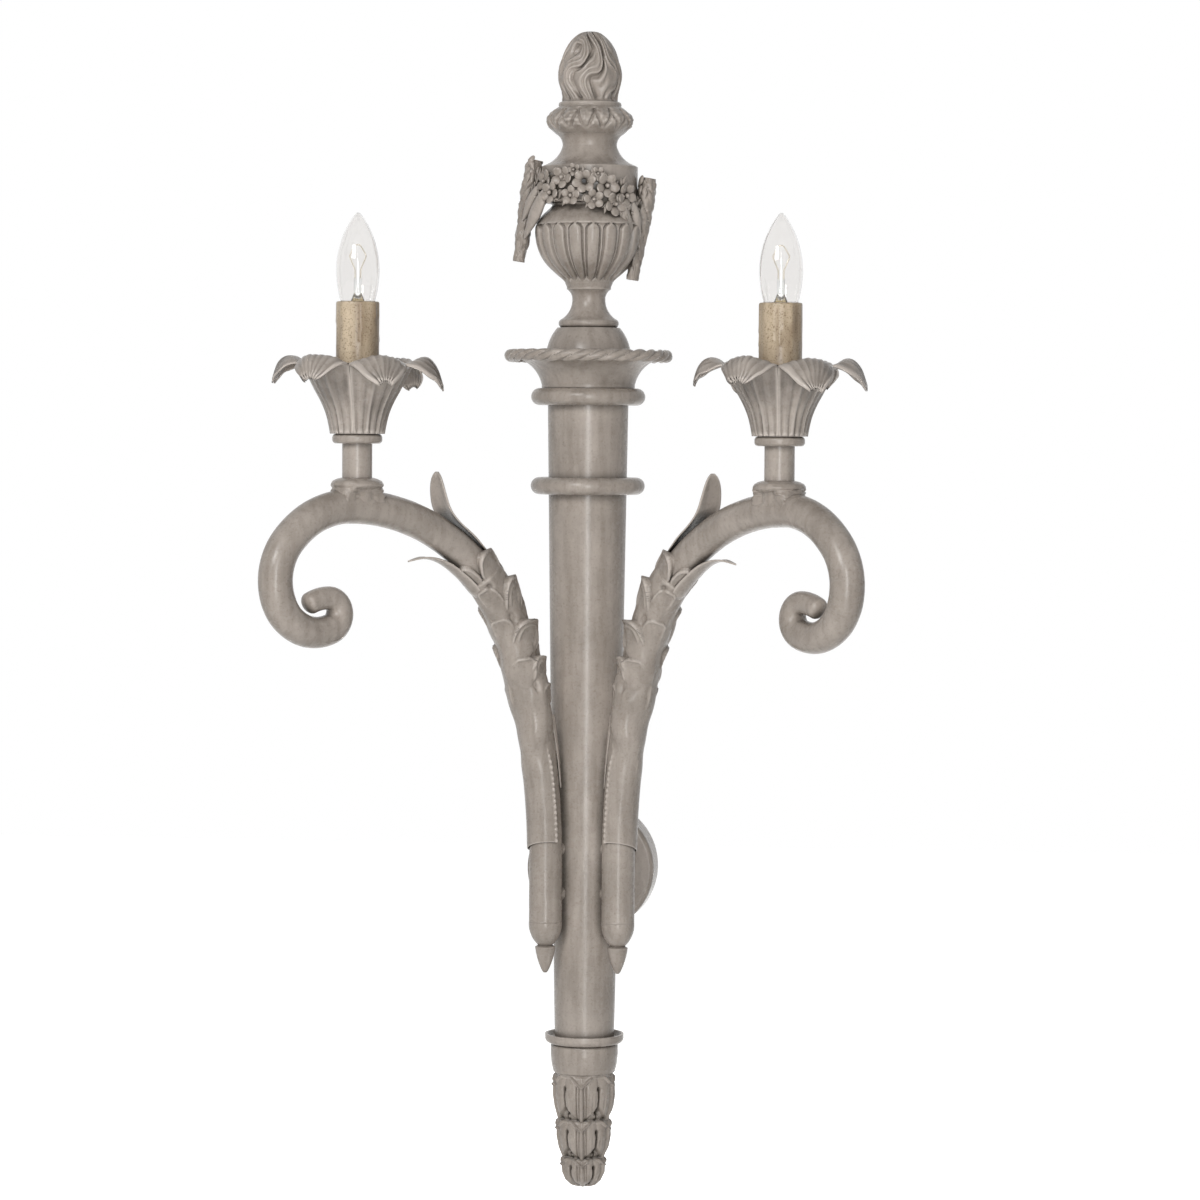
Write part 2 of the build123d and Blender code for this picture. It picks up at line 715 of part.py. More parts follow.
# Gadrooned urn bowl
gadroon_foot_z = bowl_z + BOWL_FOOT_BAND
bowl_max_z = gadroon_foot_z + GADROON_RISE
gadroon_top_z = bowl_max_z + GADROON_SHOULDER
ogee_top_z = gadroon_top_z + OGEE_HEIGHT
drum_z = ogee_top_z + OGEE_LIP
ogee_low = (BOWL_R - OGEE_STEP, gadroon_top_z)
ogee_high = (BOWL_TOP_R, ogee_top_z)
bowl_sections = [(gadroon_foot_z, BOWL_FOOT_R, GADROON_PROFILE[0][2] * GADROON_DEPTH / 2)]
bowl_sections += profiled(GADROON_PROFILE, gadroon_foot_z, GADROON_RISE, BOWL_R, GADROON_DEPTH)
bowl_sections += [(gadroon_top_z, BOWL_R - GADROON_TOP_STEP, GADROON_DEPTH)]
with BuildPart() as urn_bowl:
    add(carved(GADROONS, bowl_sections))
    with BuildSketch(column_level(bowl_z)):
        Circle(BOWL_FOOT_R - BOWL_FOOT_STEP)
    extrude(amount=BOWL_FOOT_BAND)
    with BuildSketch(COLUMN_PLANE):
        with BuildLine():
            bow(ogee_low, ogee_high, -OGEE_BOW)
            Polyline(ogee_high, (BOWL_TOP_R, drum_z), (0, drum_z), (0, gadroon_top_z), ogee_low)
        make_face()
    revolve(axis=COLUMN_AXIS)
    with BuildSketch(column_level(bowl_z)):
        Circle(rod_bore_r)
    extrude(amount=drum_z - bowl_z, mode=Mode.SUBTRACT)
save(urn_bowl, "urn_bowl")

# Urn shoulder: drum, cavetto and cove
drum_top_z = drum_z + DRUM_HEIGHT
collar_z = drum_top_z + CAVETTO_HEIGHT + COVE_HEIGHT
drum_arris = (DRUM_R - DRUM_ARRIS, drum_top_z + DRUM_ARRIS / 2)
cavetto = (CAVETTO_R, drum_top_z + CAVETTO_HEIGHT)
cove_top = (COLLAR_FOOT_R, collar_z)
with BuildPart() as urn_shoulder:
    with BuildSketch(COLUMN_PLANE):
        with BuildLine():
            Polyline(
                cove_top,
                (rod_bore_r, collar_z),
                (rod_bore_r, drum_z),
                (DRUM_R - DRUM_CHAMFER, drum_z),
                (DRUM_R, drum_z + DRUM_CHAMFER),
                (DRUM_R, drum_top_z),
                drum_arris,
            )
            bow(drum_arris, cavetto, CAVETTO_BOW)
            bow(cavetto, cove_top, COVE_BOW)
        make_face()
    revolve(axis=COLUMN_AXIS)
save(urn_shoulder, "urn_shoulder")

# Leaf collar under the flame
collar_top_z = collar_z + COLLAR_LEAF_HEIGHT
flame_z = collar_top_z + COLLAR_BAND
collar_rows = profiled(COLLAR_PROFILE, collar_z, COLLAR_LEAF_HEIGHT, COLLAR_R, COLLAR_LEAF_DEPTH)
with BuildPart() as leaf_collar:
    add(carved(COLLAR_LEAVES, collar_rows))
    with BuildSketch(column_level(collar_top_z)):
        Circle(COLLAR_BAND_R)
    extrude(amount=COLLAR_BAND)
    with BuildSketch(column_level(collar_z)):
        Circle(rod_bore_r)
    extrude(amount=flame_z - collar_z, mode=Mode.SUBTRACT)
save(leaf_collar, "leaf_collar")

# Flame finial with turning tongues
flame_rows = profiled(FLAME_PROFILE, flame_z, FLAME_HEIGHT, FLAME_R, FLAME_DEPTH)
with BuildPart() as flame_finial:
    add(carved(FLAME_TONGUES, flame_rows, FLAME_TWIST))
    with BuildSketch(column_level(flame_z)):
        Circle(rod_bore_r)
    extrude(amount=TIE_ROD_REACH + TIE_ROD_END_GAP, mode=Mode.SUBTRACT)
save(flame_finial, "flame_finial")

# Tie rod through the urn, from the column's top plug into the flame
with BuildPart() as tie_rod:
    with BuildSketch(column_level(tie_rod_foot_z)):
        Circle(TIE_ROD_R)
    extrude(amount=flame_z + TIE_ROD_REACH - tie_rod_foot_z)
save(tie_rod, "tie_rod")

# Flower swag with a hanging tail at each side
pin_z = drum_z + SWAG_PIN_RISE
swag_z = pin_z - SWAG_SAG
flower_ring_r = DRUM_R + SWAG_DEPTH - SWAG_FLOWER_SINK
tail_x = BOWL_R + SWAG_TAIL_OFFSET
with BuildPart() as straight_swag:
    with BuildSketch(COLUMN_PLANE.rotated((0, 0, 180 + (180 - SWAG_SWEEP) / 2), ordering=Extrinsic.XYZ)):
        with Locations((DRUM_R + SWAG_DEPTH / 2 - SWAG_SINK, swag_z)):
            Ellipse(SWAG_DEPTH / 2 + SWAG_SINK, SWAG_HEIGHT / 2)
    revolve(axis=COLUMN_AXIS, revolution_arc=SWAG_SWEEP)
    for i in range(SWAG_FLOWERS):
        flower_x, flower_y = around(flower_ring_r, 270 + SWAG_SWEEP * ((i + 1) / (SWAG_FLOWERS + 1) - 0.5))
        with Locations((flower_x, flower_y - COLUMN_STANDOFF, swag_z + SWAG_FLOWER_STEP * (-1) ** i)):
            Sphere(SWAG_FLOWER_R)
    for tail_side in (-1, 1):
        for rise, half_x, half_y in SWAG_TAIL:
            with BuildSketch(Plane(origin=(tail_side * tail_x, -COLUMN_STANDOFF, pin_z + rise))):
                Ellipse(half_x, half_y)
        loft()
tilt_axis = Axis((0, -COLUMN_STANDOFF, pin_z), (0, 1, 0))
with BuildPart() as flower_swag:
    add(straight_swag.part.rotate(tilt_axis, SWAG_TILT))
    for foot_z, radius, height in (
        (gadroon_top_z, DRUM_R + 2 * FIT, flame_z - gadroon_top_z),
        (bowl_z, BOWL_R + 2 * FIT, gadroon_top_z - bowl_z),
    ):
        with BuildSketch(column_level(foot_z)):
            Circle(radius)
        extrude(amount=height, mode=Mode.SUBTRACT)
    with BuildSketch(Plane.XZ.offset(COLUMN_STANDOFF)):
        with Locations((0, pin_z)):
            Circle(PIN_R + FIT)
    extrude(amount=2 * DRUM_R, mode=Mode.SUBTRACT)
save(flower_swag, "flower_swag")

# Flange that closes the foot of the column and carries the pendant
flange_bottom_z = COLUMN_FOOT_Z - FLANGE_THICK
spigot_r = COLUMN_FOOT_R - COLUMN_WALL - 2 * FIT
spigot_top_z = COLUMN_FOOT_Z + SPIGOT_HEIGHT
flange_edge = (FLANGE_R, COLUMN_FOOT_Z - FLANGE_EDGE)
flange_foot = (FLANGE_R - FLANGE_ROUND, flange_bottom_z)
pendant_spigot_z = flange_bottom_z - PENDANT_SPIGOT_LENGTH
with BuildPart() as foot_flange:
    with BuildSketch(COLUMN_PLANE):
        with BuildLine():
            bow(flange_edge, flange_foot, FLANGE_BOW)
            Polyline(
                flange_foot,
                (PENDANT_SPIGOT_R, flange_bottom_z),
                (PENDANT_SPIGOT_R, pendant_spigot_z),
                (0, pendant_spigot_z),
                (0, spigot_top_z),
                (spigot_r, spigot_top_z),
                (spigot_r, COLUMN_FOOT_Z),
                (FLANGE_R - FLANGE_LIP_WIDTH - FLANGE_LIP_SLOPE, COLUMN_FOOT_Z),
                (FLANGE_R - FLANGE_LIP_WIDTH, COLUMN_FOOT_Z + FLANGE_LIP),
                (FLANGE_R, COLUMN_FOOT_Z + FLANGE_LIP),
                flange_edge,
            )
        make_face()
    revolve(axis=COLUMN_AXIS)
save(foot_flange, "foot_flange")

# Leaf pendant: a plain band over tiers of leaves
band_foot = (PENDANT_BAND_R - PENDANT_BAND_DRAW, flange_bottom_z - PENDANT_BAND)
groove_z = band_foot[1] - PENDANT_GROOVE
band_top = (PENDANT_BAND_R, flange_bottom_z)
set_screw_z = flange_bottom_z - PENDANT_BAND / 2
with BuildPart() as leaf_pendant:
    with BuildSketch(COLUMN_PLANE):
        with BuildLine():
            bow(band_top, band_foot, PENDANT_BAND_BOW)
            Polyline(band_foot, (PENDANT_GROOVE_R, groove_z), (0, groove_z), (0, flange_bottom_z), band_top)
        make_face()
    revolve(axis=COLUMN_AXIS)
    tier_z = groove_z
    for tier_height, tier_r, foot_share in PENDANT_TIERS:
        tier_rows = profiled(PENDANT_PROFILE, tier_z, -tier_height, tier_r, PENDANT_LEAF_DEPTH)
        tier_z -= tier_height
        tier_rows.append((tier_z, foot_share * tier_r, foot_share * PENDANT_LEAF_DEPTH / 2))
        add(carved(PENDANT_LEAVES, tier_rows, first_groove=PENDANT_FIRST_GROOVE))
    with BuildSketch(column_level(flange_bottom_z)):
        Circle(PENDANT_SPIGOT_R + FIT)
    extrude(amount=-PENDANT_SPIGOT_LENGTH - FIT, mode=Mode.SUBTRACT)
    with BuildSketch(Plane.XZ.offset(COLUMN_STANDOFF)):
        with Locations((0, set_screw_z)):
            Circle(PIN_R + FIT)
    extrude(amount=FLANGE_R, mode=Mode.SUBTRACT)
save(leaf_pendant, "leaf_pendant")

# Set screws in the swag and in the pendant band
with BuildPart() as set_screws:
    for screw_z, seat_r, length in (
        (pin_z, DRUM_R + FIT, SWAG_DEPTH),
        (set_screw_z, PENDANT_SPIGOT_R + FIT, PENDANT_BAND_R - PENDANT_SPIGOT_R - PIN_SINK),
    ):
        with BuildSketch(Plane.XZ.offset(COLUMN_STANDOFF + seat_r)):
            with Locations((0, screw_z)):
                Circle(PIN_R)
        extrude(amount=length)
save(set_screws, "set_screws")

# Round spacers that join the arms to the column, the upper ones hollow for the leads
with BuildPart() as arm_spacers:
    with BuildSketch(*upper_lugs):
        Circle(SPACER_R)
        Circle(LEAD_HOLE_R, mode=Mode.SUBTRACT)
    with BuildSketch(*lower_lugs):
        Circle(SPACER_R)
    extrude(amount=arm_foot_r)
    add(column_blank(FIT / 2), mode=Mode.SUBTRACT)
    for side in SIDES.values():
        add(arm_blank(side, ARM_R + FIT / 2, RISE_BENDS[0][0]), mode=Mode.SUBTRACT)
save(arm_spacers, "arm_spacers")

# Levels of the candle stack, from the arm up to the sleeve top and from there down into the lampholder
crest_z = arm_point(CREST_HEADING)[1]
stud_foot_z = crest_z + ARM_R - ARM_WALL
base_collar_z = crest_z + ARM_R - BASE_COLLAR_SINK
stem_z = base_collar_z + BASE_COLLAR_HEIGHT
cup_collar_z = stem_z + STEM_HEIGHT
cup_z = cup_collar_z + CUP_COLLAR_HEIGHT
cup_floor_z = cup_z + CUP_FLOOR
sleeve_top_z = cup_floor_z + SLEEVE_LENGTH
cap_top_z = sleeve_top_z - CAP_SINK
cap_tip_z = cap_top_z - CAP_HEIGHT
holder_floor_z = cap_tip_z - CAP_TIP_GAP - CONTACT_RISE
holder_z = holder_floor_z - HOLDER_FLOOR
holder_top_z = cap_top_z - HOLDER_SINK
# Radii from the screw cap outwards
shell_bore_r = CAP_R + THREAD_GAP
shell_r = shell_bore_r + SHELL_WALL
holder_bore_r = shell_r + FIT
holder_r = holder_bore_r + HOLDER_WALL
sleeve_bore_r = holder_r + SLEEVE_GAP
sleeve_r = sleeve_bore_r + SLEEVE_WALL
stud_bore_r = STUD_R + FIT


def candle_level(side, z):
    centre = arm_plane(side).from_local_coords((CANDLE_R, 0, 0))
    return Plane(origin=(centre.X, centre.Y, z))


def both_candles(z):
    return [candle_level(side, z) for side in SIDES.values()]


# Nuts that clamp the leaf cups
with BuildPart() as cup_nuts:
    with BuildSketch(*both_candles(cup_floor_z)):
        RegularPolygon(STUD_NUT_R, 6)
        Circle(stud_bore_r, mode=Mode.SUBTRACT)
    extrude(amount=STUD_NUT_HEIGHT)
save(cup_nuts, "cup_nuts")

# Spring contacts on the floors of the lampholders
with BuildPart() as centre_contacts:
    with BuildSketch(*both_candles(holder_floor_z)):
        Circle(CONTACT_R)
    extrude(amount=CONTACT_THICK)
    with BuildSketch(*both_candles(holder_floor_z + CONTACT_THICK)):
        Circle(CONTACT_R / 2)
    extrude(amount=CONTACT_RISE - CONTACT_THICK, taper=CONTACT_TAPER)
save(centre_contacts, "centre_contacts")


def heading_after(heading, run):
    # Heading of the arm at a distance further along it
    for end, radius in arm_bends:
        if heading < end and run > 0:
            turn = min(degrees(run / radius), end - heading)
            run -= radius * radians(turn)
            heading += turn
    return heading


def lobe(plane, start_heading, bearing):
    # Leaf lobe of thin oval sections that lies along the arm and lifts its tip
    with BuildPart() as leaf:
        for share, clear, half_width in LOBE_ROWS:
            heading = heading_after(start_heading, share * LOBE_LENGTH)
            with BuildSketch(across(plane, arm_point(heading), heading)):
                with PolarLocations(ARM_R + clear, 1, start_angle=bearing):
                    Ellipse(LOBE_THICK / 2, half_width)
        loft()
    return leaf.part


def blade(plane, stations, flank):
    # Long leaf of thin oval sections, off the column side of the arm or off its far side
    with BuildPart() as leaf:
        for heading, clear, own_heading, half_width in stations:
            place = beside_arm(heading, flank * (ARM_R + clear))
            with BuildSketch(across(plane, place, own_heading)):
                Ellipse(half_width, SHEATH_WALL / 2)
        loft()
    return leaf.part


def pin(place, radius, length):
    # Round bar standing on a plane
    with BuildPart() as bar:
        with BuildSketch(place):
            Circle(radius)
        extrude(amount=length)
    return bar.part


def arm_with_scroll(side):
    # Hollow arm with its solid scroll end and the holes for the stud and the lead
    plane = arm_plane(side)
    steps = round((scroll_end - scroll_start) / SCROLL_STEP)
    with BuildPart() as tube:
        add(arm_blank(side, ARM_R, scroll_start))
        # The scroll thins as it rolls up
        for i in range(steps + 1):
            heading = scroll_start + (scroll_end - scroll_start) * i / steps
            thinned = max(0, heading - SCROLL_THIN_FROM) / (scroll_end - SCROLL_THIN_FROM)
            with BuildSketch(across(plane, arm_point(heading), heading)):
                Circle(ARM_R + (SCROLL_END_R - ARM_R) * thinned)
        loft()
        add(arm_blank(side, ARM_R - ARM_WALL, scroll_start), mode=Mode.SUBTRACT)
        add(pin(candle_level(side, crest_z), stud_bore_r, 2 * ARM_R), mode=Mode.SUBTRACT)
        add(pin(lug_plane(side, SPACER_UPPER_Z), LEAD_HOLE_R, arm_foot_r), mode=Mode.SUBTRACT)
    return tube.part


right_tube = arm_with_scroll(1)


def make_arm(name, side):
    plane = arm_plane(side)
    candle = plane.from_local_coords((CANDLE_R, 0, 0))
    with BuildPart() as arm_tube:
        if side > 0:
            add(right_tube)
        else:
            mirror(right_tube, about=Plane.YZ)
    save(arm_tube, f"{name}_arm_tube")

    # Bud that closes the foot of the arm
    foot = plane.from_local_coords((arm_foot_r, 0, 0))
    plug_r = ARM_R - ARM_WALL - FIT
    bud_neck_z = ARM_FOOT_Z - BUD_CUP
    bud_top_z = bud_neck_z - BUD_STEP
    bud_end_z = bud_top_z - BUD_LENGTH
    bud_tip = (BUD_TIP_R, bud_end_z + BUD_TIP)
    with BuildPart() as arm_bud:
        with BuildSketch(upright(foot.X, foot.Y)):
            with BuildLine():
                bow((ARM_R, ARM_FOOT_Z), (BUD_NECK_R, bud_neck_z), BUD_CUP_BOW)
                Line((BUD_NECK_R, bud_neck_z), (BUD_R, bud_top_z))
                bow((BUD_R, bud_top_z), bud_tip, BUD_BOW)
                Polyline(
                    bud_tip,
                    (BUD_TIP_R / 2, bud_end_z),
                    (0, bud_end_z),
                    (0, ARM_FOOT_Z + BUD_PLUG),
                    (plug_r, ARM_FOOT_Z + BUD_PLUG),
                    (plug_r, ARM_FOOT_Z),
                    (ARM_R, ARM_FOOT_Z),
                )
            make_face()
        revolve(axis=Axis((foot.X, foot.Y, 0), (0, 0, 1)))
    save(arm_bud, f"{name}_arm_bud")

    # Leaf sheath: a thin sleeve with tiers of lifted lobes and two long leaves
    with BuildPart() as leaf_sheath:
        with BuildLine(plane):
            arm_arcs(SHEATH_START, SHEATH_END)
        with BuildSketch(across(plane, arm_point(SHEATH_START), SHEATH_START)):
            Circle(ARM_R + SHEATH_WALL)
        sweep()
        for i, heading in enumerate(TIER_HEADINGS):
            bearings = [360 * (k + i / 2) / TIER_LOBES for k in range(TIER_LOBES)]
            add([lobe(plane, heading, bearing) for bearing in bearings])
        add(blade(plane, STANDING_LEAF, 1))
        add(blade(plane, UNDER_LEAF, -1))
        add(arm_blank(side, ARM_R + FIT, CREST_HEADING), mode=Mode.SUBTRACT)
        add(column_blank(2 * FIT), mode=Mode.SUBTRACT)
        with BuildSketch(lug_plane(side, SPACER_UPPER_Z)):
            Circle(SPACER_R + SHEATH_WALL)
        extrude(amount=arm_foot_r, mode=Mode.SUBTRACT)
    save(leaf_sheath, f"{name}_leaf_sheath")

    # Candle stack
    axis = Axis((candle.X, candle.Y, 0), (0, 0, 1))
    stack_plane = upright(candle.X, candle.Y)

    def level(z):
        return candle_level(side, z)

    with BuildPart() as base_collar:
        with BuildSketch(level(base_collar_z)):
            Circle(BASE_COLLAR_R)
        extrude(amount=BASE_COLLAR_HEIGHT)
        fillet(base_collar.edges(), (BASE_COLLAR_HEIGHT - BASE_COLLAR_FLAT) / 2)
        with BuildSketch(level(base_collar_z)):
            Circle(stud_bore_r)
        extrude(amount=BASE_COLLAR_HEIGHT, mode=Mode.SUBTRACT)
        add(arm_blank(side, ARM_R + FIT, SCROLL_TURNS[0][0]), mode=Mode.SUBTRACT)
    save(base_collar, f"{name}_base_collar")

    with BuildPart() as candle_stem:
        with BuildSketch(level(stem_z)):
            Circle(STEM_R)
            Circle(stud_bore_r, mode=Mode.SUBTRACT)
        extrude(amount=STEM_HEIGHT)
    save(candle_stem, f"{name}_candle_stem")

    with BuildPart() as cup_collar:
        with BuildSketch(level(cup_collar_z)):
            Circle(CUP_COLLAR_R)
        extrude(amount=CUP_COLLAR_HEIGHT)
        fillet(cup_collar.edges(), (CUP_COLLAR_HEIGHT - CUP_COLLAR_FLAT) / 2)
        with BuildSketch(level(cup_collar_z)):
            Circle(stud_bore_r)
        extrude(amount=CUP_COLLAR_HEIGHT, mode=Mode.SUBTRACT)
    save(cup_collar, f"{name}_cup_collar")

    # Leaf cup: a flared shell whose rim is cut into drooping petals
    cup_foot = (CUP_FOOT_R, cup_z)
    cup_waist = (CUP_WAIST_R, cup_z + CUP_WAIST_RISE)
    petal_crest = (PETAL_CREST_R, cup_z + PETAL_CREST_RISE)
    with BuildPart() as leaf_cup:
        with BuildSketch(stack_plane):
            with BuildLine():
                bow(cup_foot, cup_waist, CUP_BOW)
                bow(cup_waist, petal_crest, THROAT_BOW)
                bow(petal_crest, (PETAL_R, cup_z + PETAL_TIP_RISE), PETAL_BOW)
                offset(amount=CUP_WALL, side=Side.LEFT)
            make_face()
            with Locations((stud_bore_r, cup_z)):
                Rectangle(CUP_FOOT_R - CUP_WALL / 4 - stud_bore_r, CUP_FLOOR, align=(Align.MIN, Align.MIN))
        revolve(axis=axis)
        with BuildSketch(level(cup_z)):
            Circle(CUP_WAIST_R + PETAL_NOTCH)
            with PolarLocations(PETAL_ROOT_R, PETALS, start_angle=360 / PETALS / 2 - 90):
                Ellipse(PETAL_R - PETAL_ROOT_R + PETAL_TRIM, PETAL_HALF)
        extrude(amount=PETAL_CREST_RISE + 2 * CUP_WALL, mode=Mode.INTERSECT)
    save(leaf_cup, f"{name}_leaf_cup")

    # Hollow stud that clamps the stack and carries the lampholder
    with BuildPart() as candle_stud:
        with BuildSketch(level(stud_foot_z)):
            Circle(STUD_R)
            Circle(STUD_BORE_R, mode=Mode.SUBTRACT)
        extrude(amount=holder_floor_z - STUD_END_GAP - stud_foot_z)
    save(candle_stud, f"{name}_candle_stud")

    with BuildPart() as candle_sleeve:
        with BuildSketch(level(cup_floor_z)):
            Circle(sleeve_r)
            Circle(sleeve_bore_r, mode=Mode.SUBTRACT)
        extrude(amount=SLEEVE_LENGTH)
    save(candle_sleeve, f"{name}_candle_sleeve")

    with BuildPart() as lampholder:
        with BuildSketch(level(holder_z)):
            Circle(holder_r)
            Circle(stud_bore_r, mode=Mode.SUBTRACT)
        extrude(amount=HOLDER_FLOOR)
        with BuildSketch(level(holder_floor_z)):
            Circle(holder_r)
            Circle(holder_bore_r, mode=Mode.SUBTRACT)
        extrude(amount=holder_top_z - holder_floor_z)
    save(lampholder, f"{name}_lampholder")

    with BuildPart() as screw_shell:
        with BuildSketch(level(holder_floor_z)):
            Circle(shell_r)
            Circle(shell_bore_r, mode=Mode.SUBTRACT)
        extrude(amount=holder_top_z - SHELL_SINK - holder_floor_z)
    save(screw_shell, f"{name}_screw_shell")

    # Candle lamp
    cap_shell_z = cap_tip_z + CAP_SHELL_RISE
    with BuildPart() as lamp_cap:
        with BuildSketch(stack_plane):
            with BuildLine():
                Polyline(
                    (0, cap_tip_z),
                    (CAP_TIP_R - CAP_TIP_ROUND, cap_tip_z),
                    (CAP_TIP_R, cap_tip_z + CAP_TIP_ROUND),
                    (CAP_R - CAP_SHELL_STEP, cap_shell_z),
                    (CAP_R, cap_shell_z + CAP_SHELL_ROUND),
                    (CAP_R, cap_top_z),
                    (0, cap_top_z),
                    close=True,
                )
            make_face()
        revolve(axis=axis)
    save(lamp_cap, f"{name}_lamp_cap")

    with BuildPart() as lamp_glass:
        for inset, mode in ((0, Mode.ADD), (GLASS_WALL, Mode.SUBTRACT)):
            neck_edge = (CAP_R + GLASS_LAP - inset, cap_top_z)
            widest = (GLASS_R - inset, cap_top_z + GLASS_MAX_RISE)
            glass_top_z = cap_top_z + GLASS_LENGTH - inset
            tip_edge = (GLASS_TIP_R - inset / 2, glass_top_z - GLASS_TIP)
            with BuildSketch(stack_plane):
                with BuildLine():
                    bow(neck_edge, widest, -GLASS_CHEEK_BOW)
                    bow(widest, tip_edge, -GLASS_BOW)
                    Polyline(
                        tip_edge,
                        (GLASS_TIP_FLAT, glass_top_z),
                        (0, glass_top_z),
                        (0, cap_top_z),
                        neck_edge,
                    )
                make_face()
            revolve(axis=axis, mode=mode)
    save(lamp_glass, f"{name}_lamp_glass")

    # Glass mount with its two supports and the filament between them
    mount_top_z = cap_top_z + MOUNT_HEIGHT
    with BuildPart() as lamp_mount:
        with BuildSketch(level(cap_top_z)):
            Circle(MOUNT_R + MOUNT_FLARE)
        with BuildSketch(level(cap_top_z + MOUNT_FOOT)):
            Circle(MOUNT_R)
        loft()
        with BuildSketch(level(cap_top_z + MOUNT_FOOT)):
            Circle(MOUNT_R)
        extrude(amount=MOUNT_HEIGHT - MOUNT_FOOT)
    save(lamp_mount, f"{name}_lamp_mount")

    with BuildPart() as lamp_filament:
        support_x = MOUNT_R - 2 * WIRE_R
        with BuildLine(stack_plane):
            FilletPolyline(
                (-support_x, mount_top_z),
                (-support_x, mount_top_z + FILAMENT_LEG),
                (-FILAMENT_R, mount_top_z + FILAMENT_WAIST),
                (0, mount_top_z + FILAMENT_RISE),
                (FILAMENT_R, mount_top_z + FILAMENT_WAIST),
                (support_x, mount_top_z + FILAMENT_LEG),
                (support_x, mount_top_z),
                radius=FILAMENT_ROUND,
            )
        with BuildSketch(Plane(origin=(candle.X - support_x, candle.Y, mount_top_z))):
            Circle(WIRE_R)
        sweep()
    save(lamp_filament, f"{name}_lamp_filament")

    # Lead from the lampholder through the stud, the arm and the upper spacer, and out through the nipple
    upper_heading = CREST_HEADING - LEAD_CREST_BACK
    upper_r, upper_z = arm_point(upper_heading)
    corner_z = upper_z + (CANDLE_R - upper_r) / tan(radians(upper_heading))
    lower_r, lower_z = arm_point(LEAD_LOWER_HEADING)
    corner_r = lower_r - (lower_z - SPACER_UPPER_Z) * tan(radians(LEAD_LOWER_HEADING))
    lead_top_z = holder_floor_z - LEAD_TOP_GAP
    nipple_x = side * LEAD_NIPPLE_X
    block_x = side * BLOCK_PITCH
    with BuildPart() as lamp_lead:
        with BuildLine(plane):
            lead_drop = ((CANDLE_R, lead_top_z), (CANDLE_R, corner_z), (upper_r, upper_z))
            FilletPolyline(*lead_drop, radius=LEAD_BEND)
            arm_arcs(LEAD_LOWER_HEADING, upper_heading)
        with BuildLine():
            FilletPolyline(
                plane.from_local_coords((lower_r, lower_z, 0)),
                plane.from_local_coords((corner_r, SPACER_UPPER_Z, 0)),
                plane.from_local_coords((LEAD_COLUMN_R, SPACER_UPPER_Z, 0)),
                (nipple_x, -saddle_front - NUT_HEIGHT - LEAD_COLUMN_RUN, 0),
                (nipple_x, -nipple_back + LEAD_PLATE_RUN, 0),
                (block_x, block_y, BLOCK_Z - BLOCK_HEIGHT),
                (block_x, block_y, BLOCK_Z),
                radius=LEAD_SMALL_BEND,
            )
        with BuildSketch(level(lead_top_z)):
            Circle(LEAD_R)
        sweep()
    save(lamp_lead, f"{name}_lamp_lead")


for side_name, side_sign in SIDES.items():
    make_arm(side_name, side_sign)
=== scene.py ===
# Looks of the double wall light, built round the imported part. Metres, +Z up, the front faces -Y.
# Shapes are written in millimetres and scaled once, when a mesh is made.

import json
import math
import random

import bpy
from mathutils import Matrix, Vector, noise


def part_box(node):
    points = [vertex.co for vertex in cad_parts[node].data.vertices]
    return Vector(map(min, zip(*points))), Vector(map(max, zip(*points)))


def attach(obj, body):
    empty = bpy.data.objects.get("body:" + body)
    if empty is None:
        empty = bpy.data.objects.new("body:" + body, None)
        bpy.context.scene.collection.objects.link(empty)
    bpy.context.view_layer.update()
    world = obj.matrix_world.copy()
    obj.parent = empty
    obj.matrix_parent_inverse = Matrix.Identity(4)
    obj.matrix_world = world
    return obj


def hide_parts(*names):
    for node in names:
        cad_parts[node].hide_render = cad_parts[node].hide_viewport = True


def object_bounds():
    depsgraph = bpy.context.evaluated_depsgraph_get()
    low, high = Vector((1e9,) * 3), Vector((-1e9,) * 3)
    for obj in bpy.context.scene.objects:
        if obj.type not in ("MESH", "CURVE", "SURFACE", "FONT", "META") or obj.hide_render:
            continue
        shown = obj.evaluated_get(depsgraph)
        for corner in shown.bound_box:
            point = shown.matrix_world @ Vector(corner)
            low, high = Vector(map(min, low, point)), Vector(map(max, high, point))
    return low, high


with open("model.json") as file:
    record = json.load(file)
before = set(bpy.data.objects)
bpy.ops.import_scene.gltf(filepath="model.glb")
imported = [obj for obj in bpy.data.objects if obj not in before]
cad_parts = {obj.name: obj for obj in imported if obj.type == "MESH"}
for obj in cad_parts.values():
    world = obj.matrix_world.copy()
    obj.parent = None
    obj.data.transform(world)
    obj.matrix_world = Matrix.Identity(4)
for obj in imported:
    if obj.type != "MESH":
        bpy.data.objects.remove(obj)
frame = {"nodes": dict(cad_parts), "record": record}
cad_low, cad_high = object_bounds()
scene = bpy.context.scene
nodes = frame["nodes"]
MM = 0.001


def middle(node):
    low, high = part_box(node)
    return (low + high) / (2 * MM)


def span_z(node):
    low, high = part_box(node)
    return low.z / MM, high.z / MM


# Materials

def material(name, roughness, metallic=0.0):
    made = bpy.data.materials.new(name)
    made.use_nodes = True
    shader = made.node_tree.nodes["Principled BSDF"]
    shader.inputs["Roughness"].default_value = roughness
    shader.inputs["Metallic"].default_value = metallic
    return made, made.node_tree, shader


def node(tree, kind, **settings):
    made = tree.nodes.new(kind)
    for key, value in settings.items():
        setattr(made, key, value)
    return made


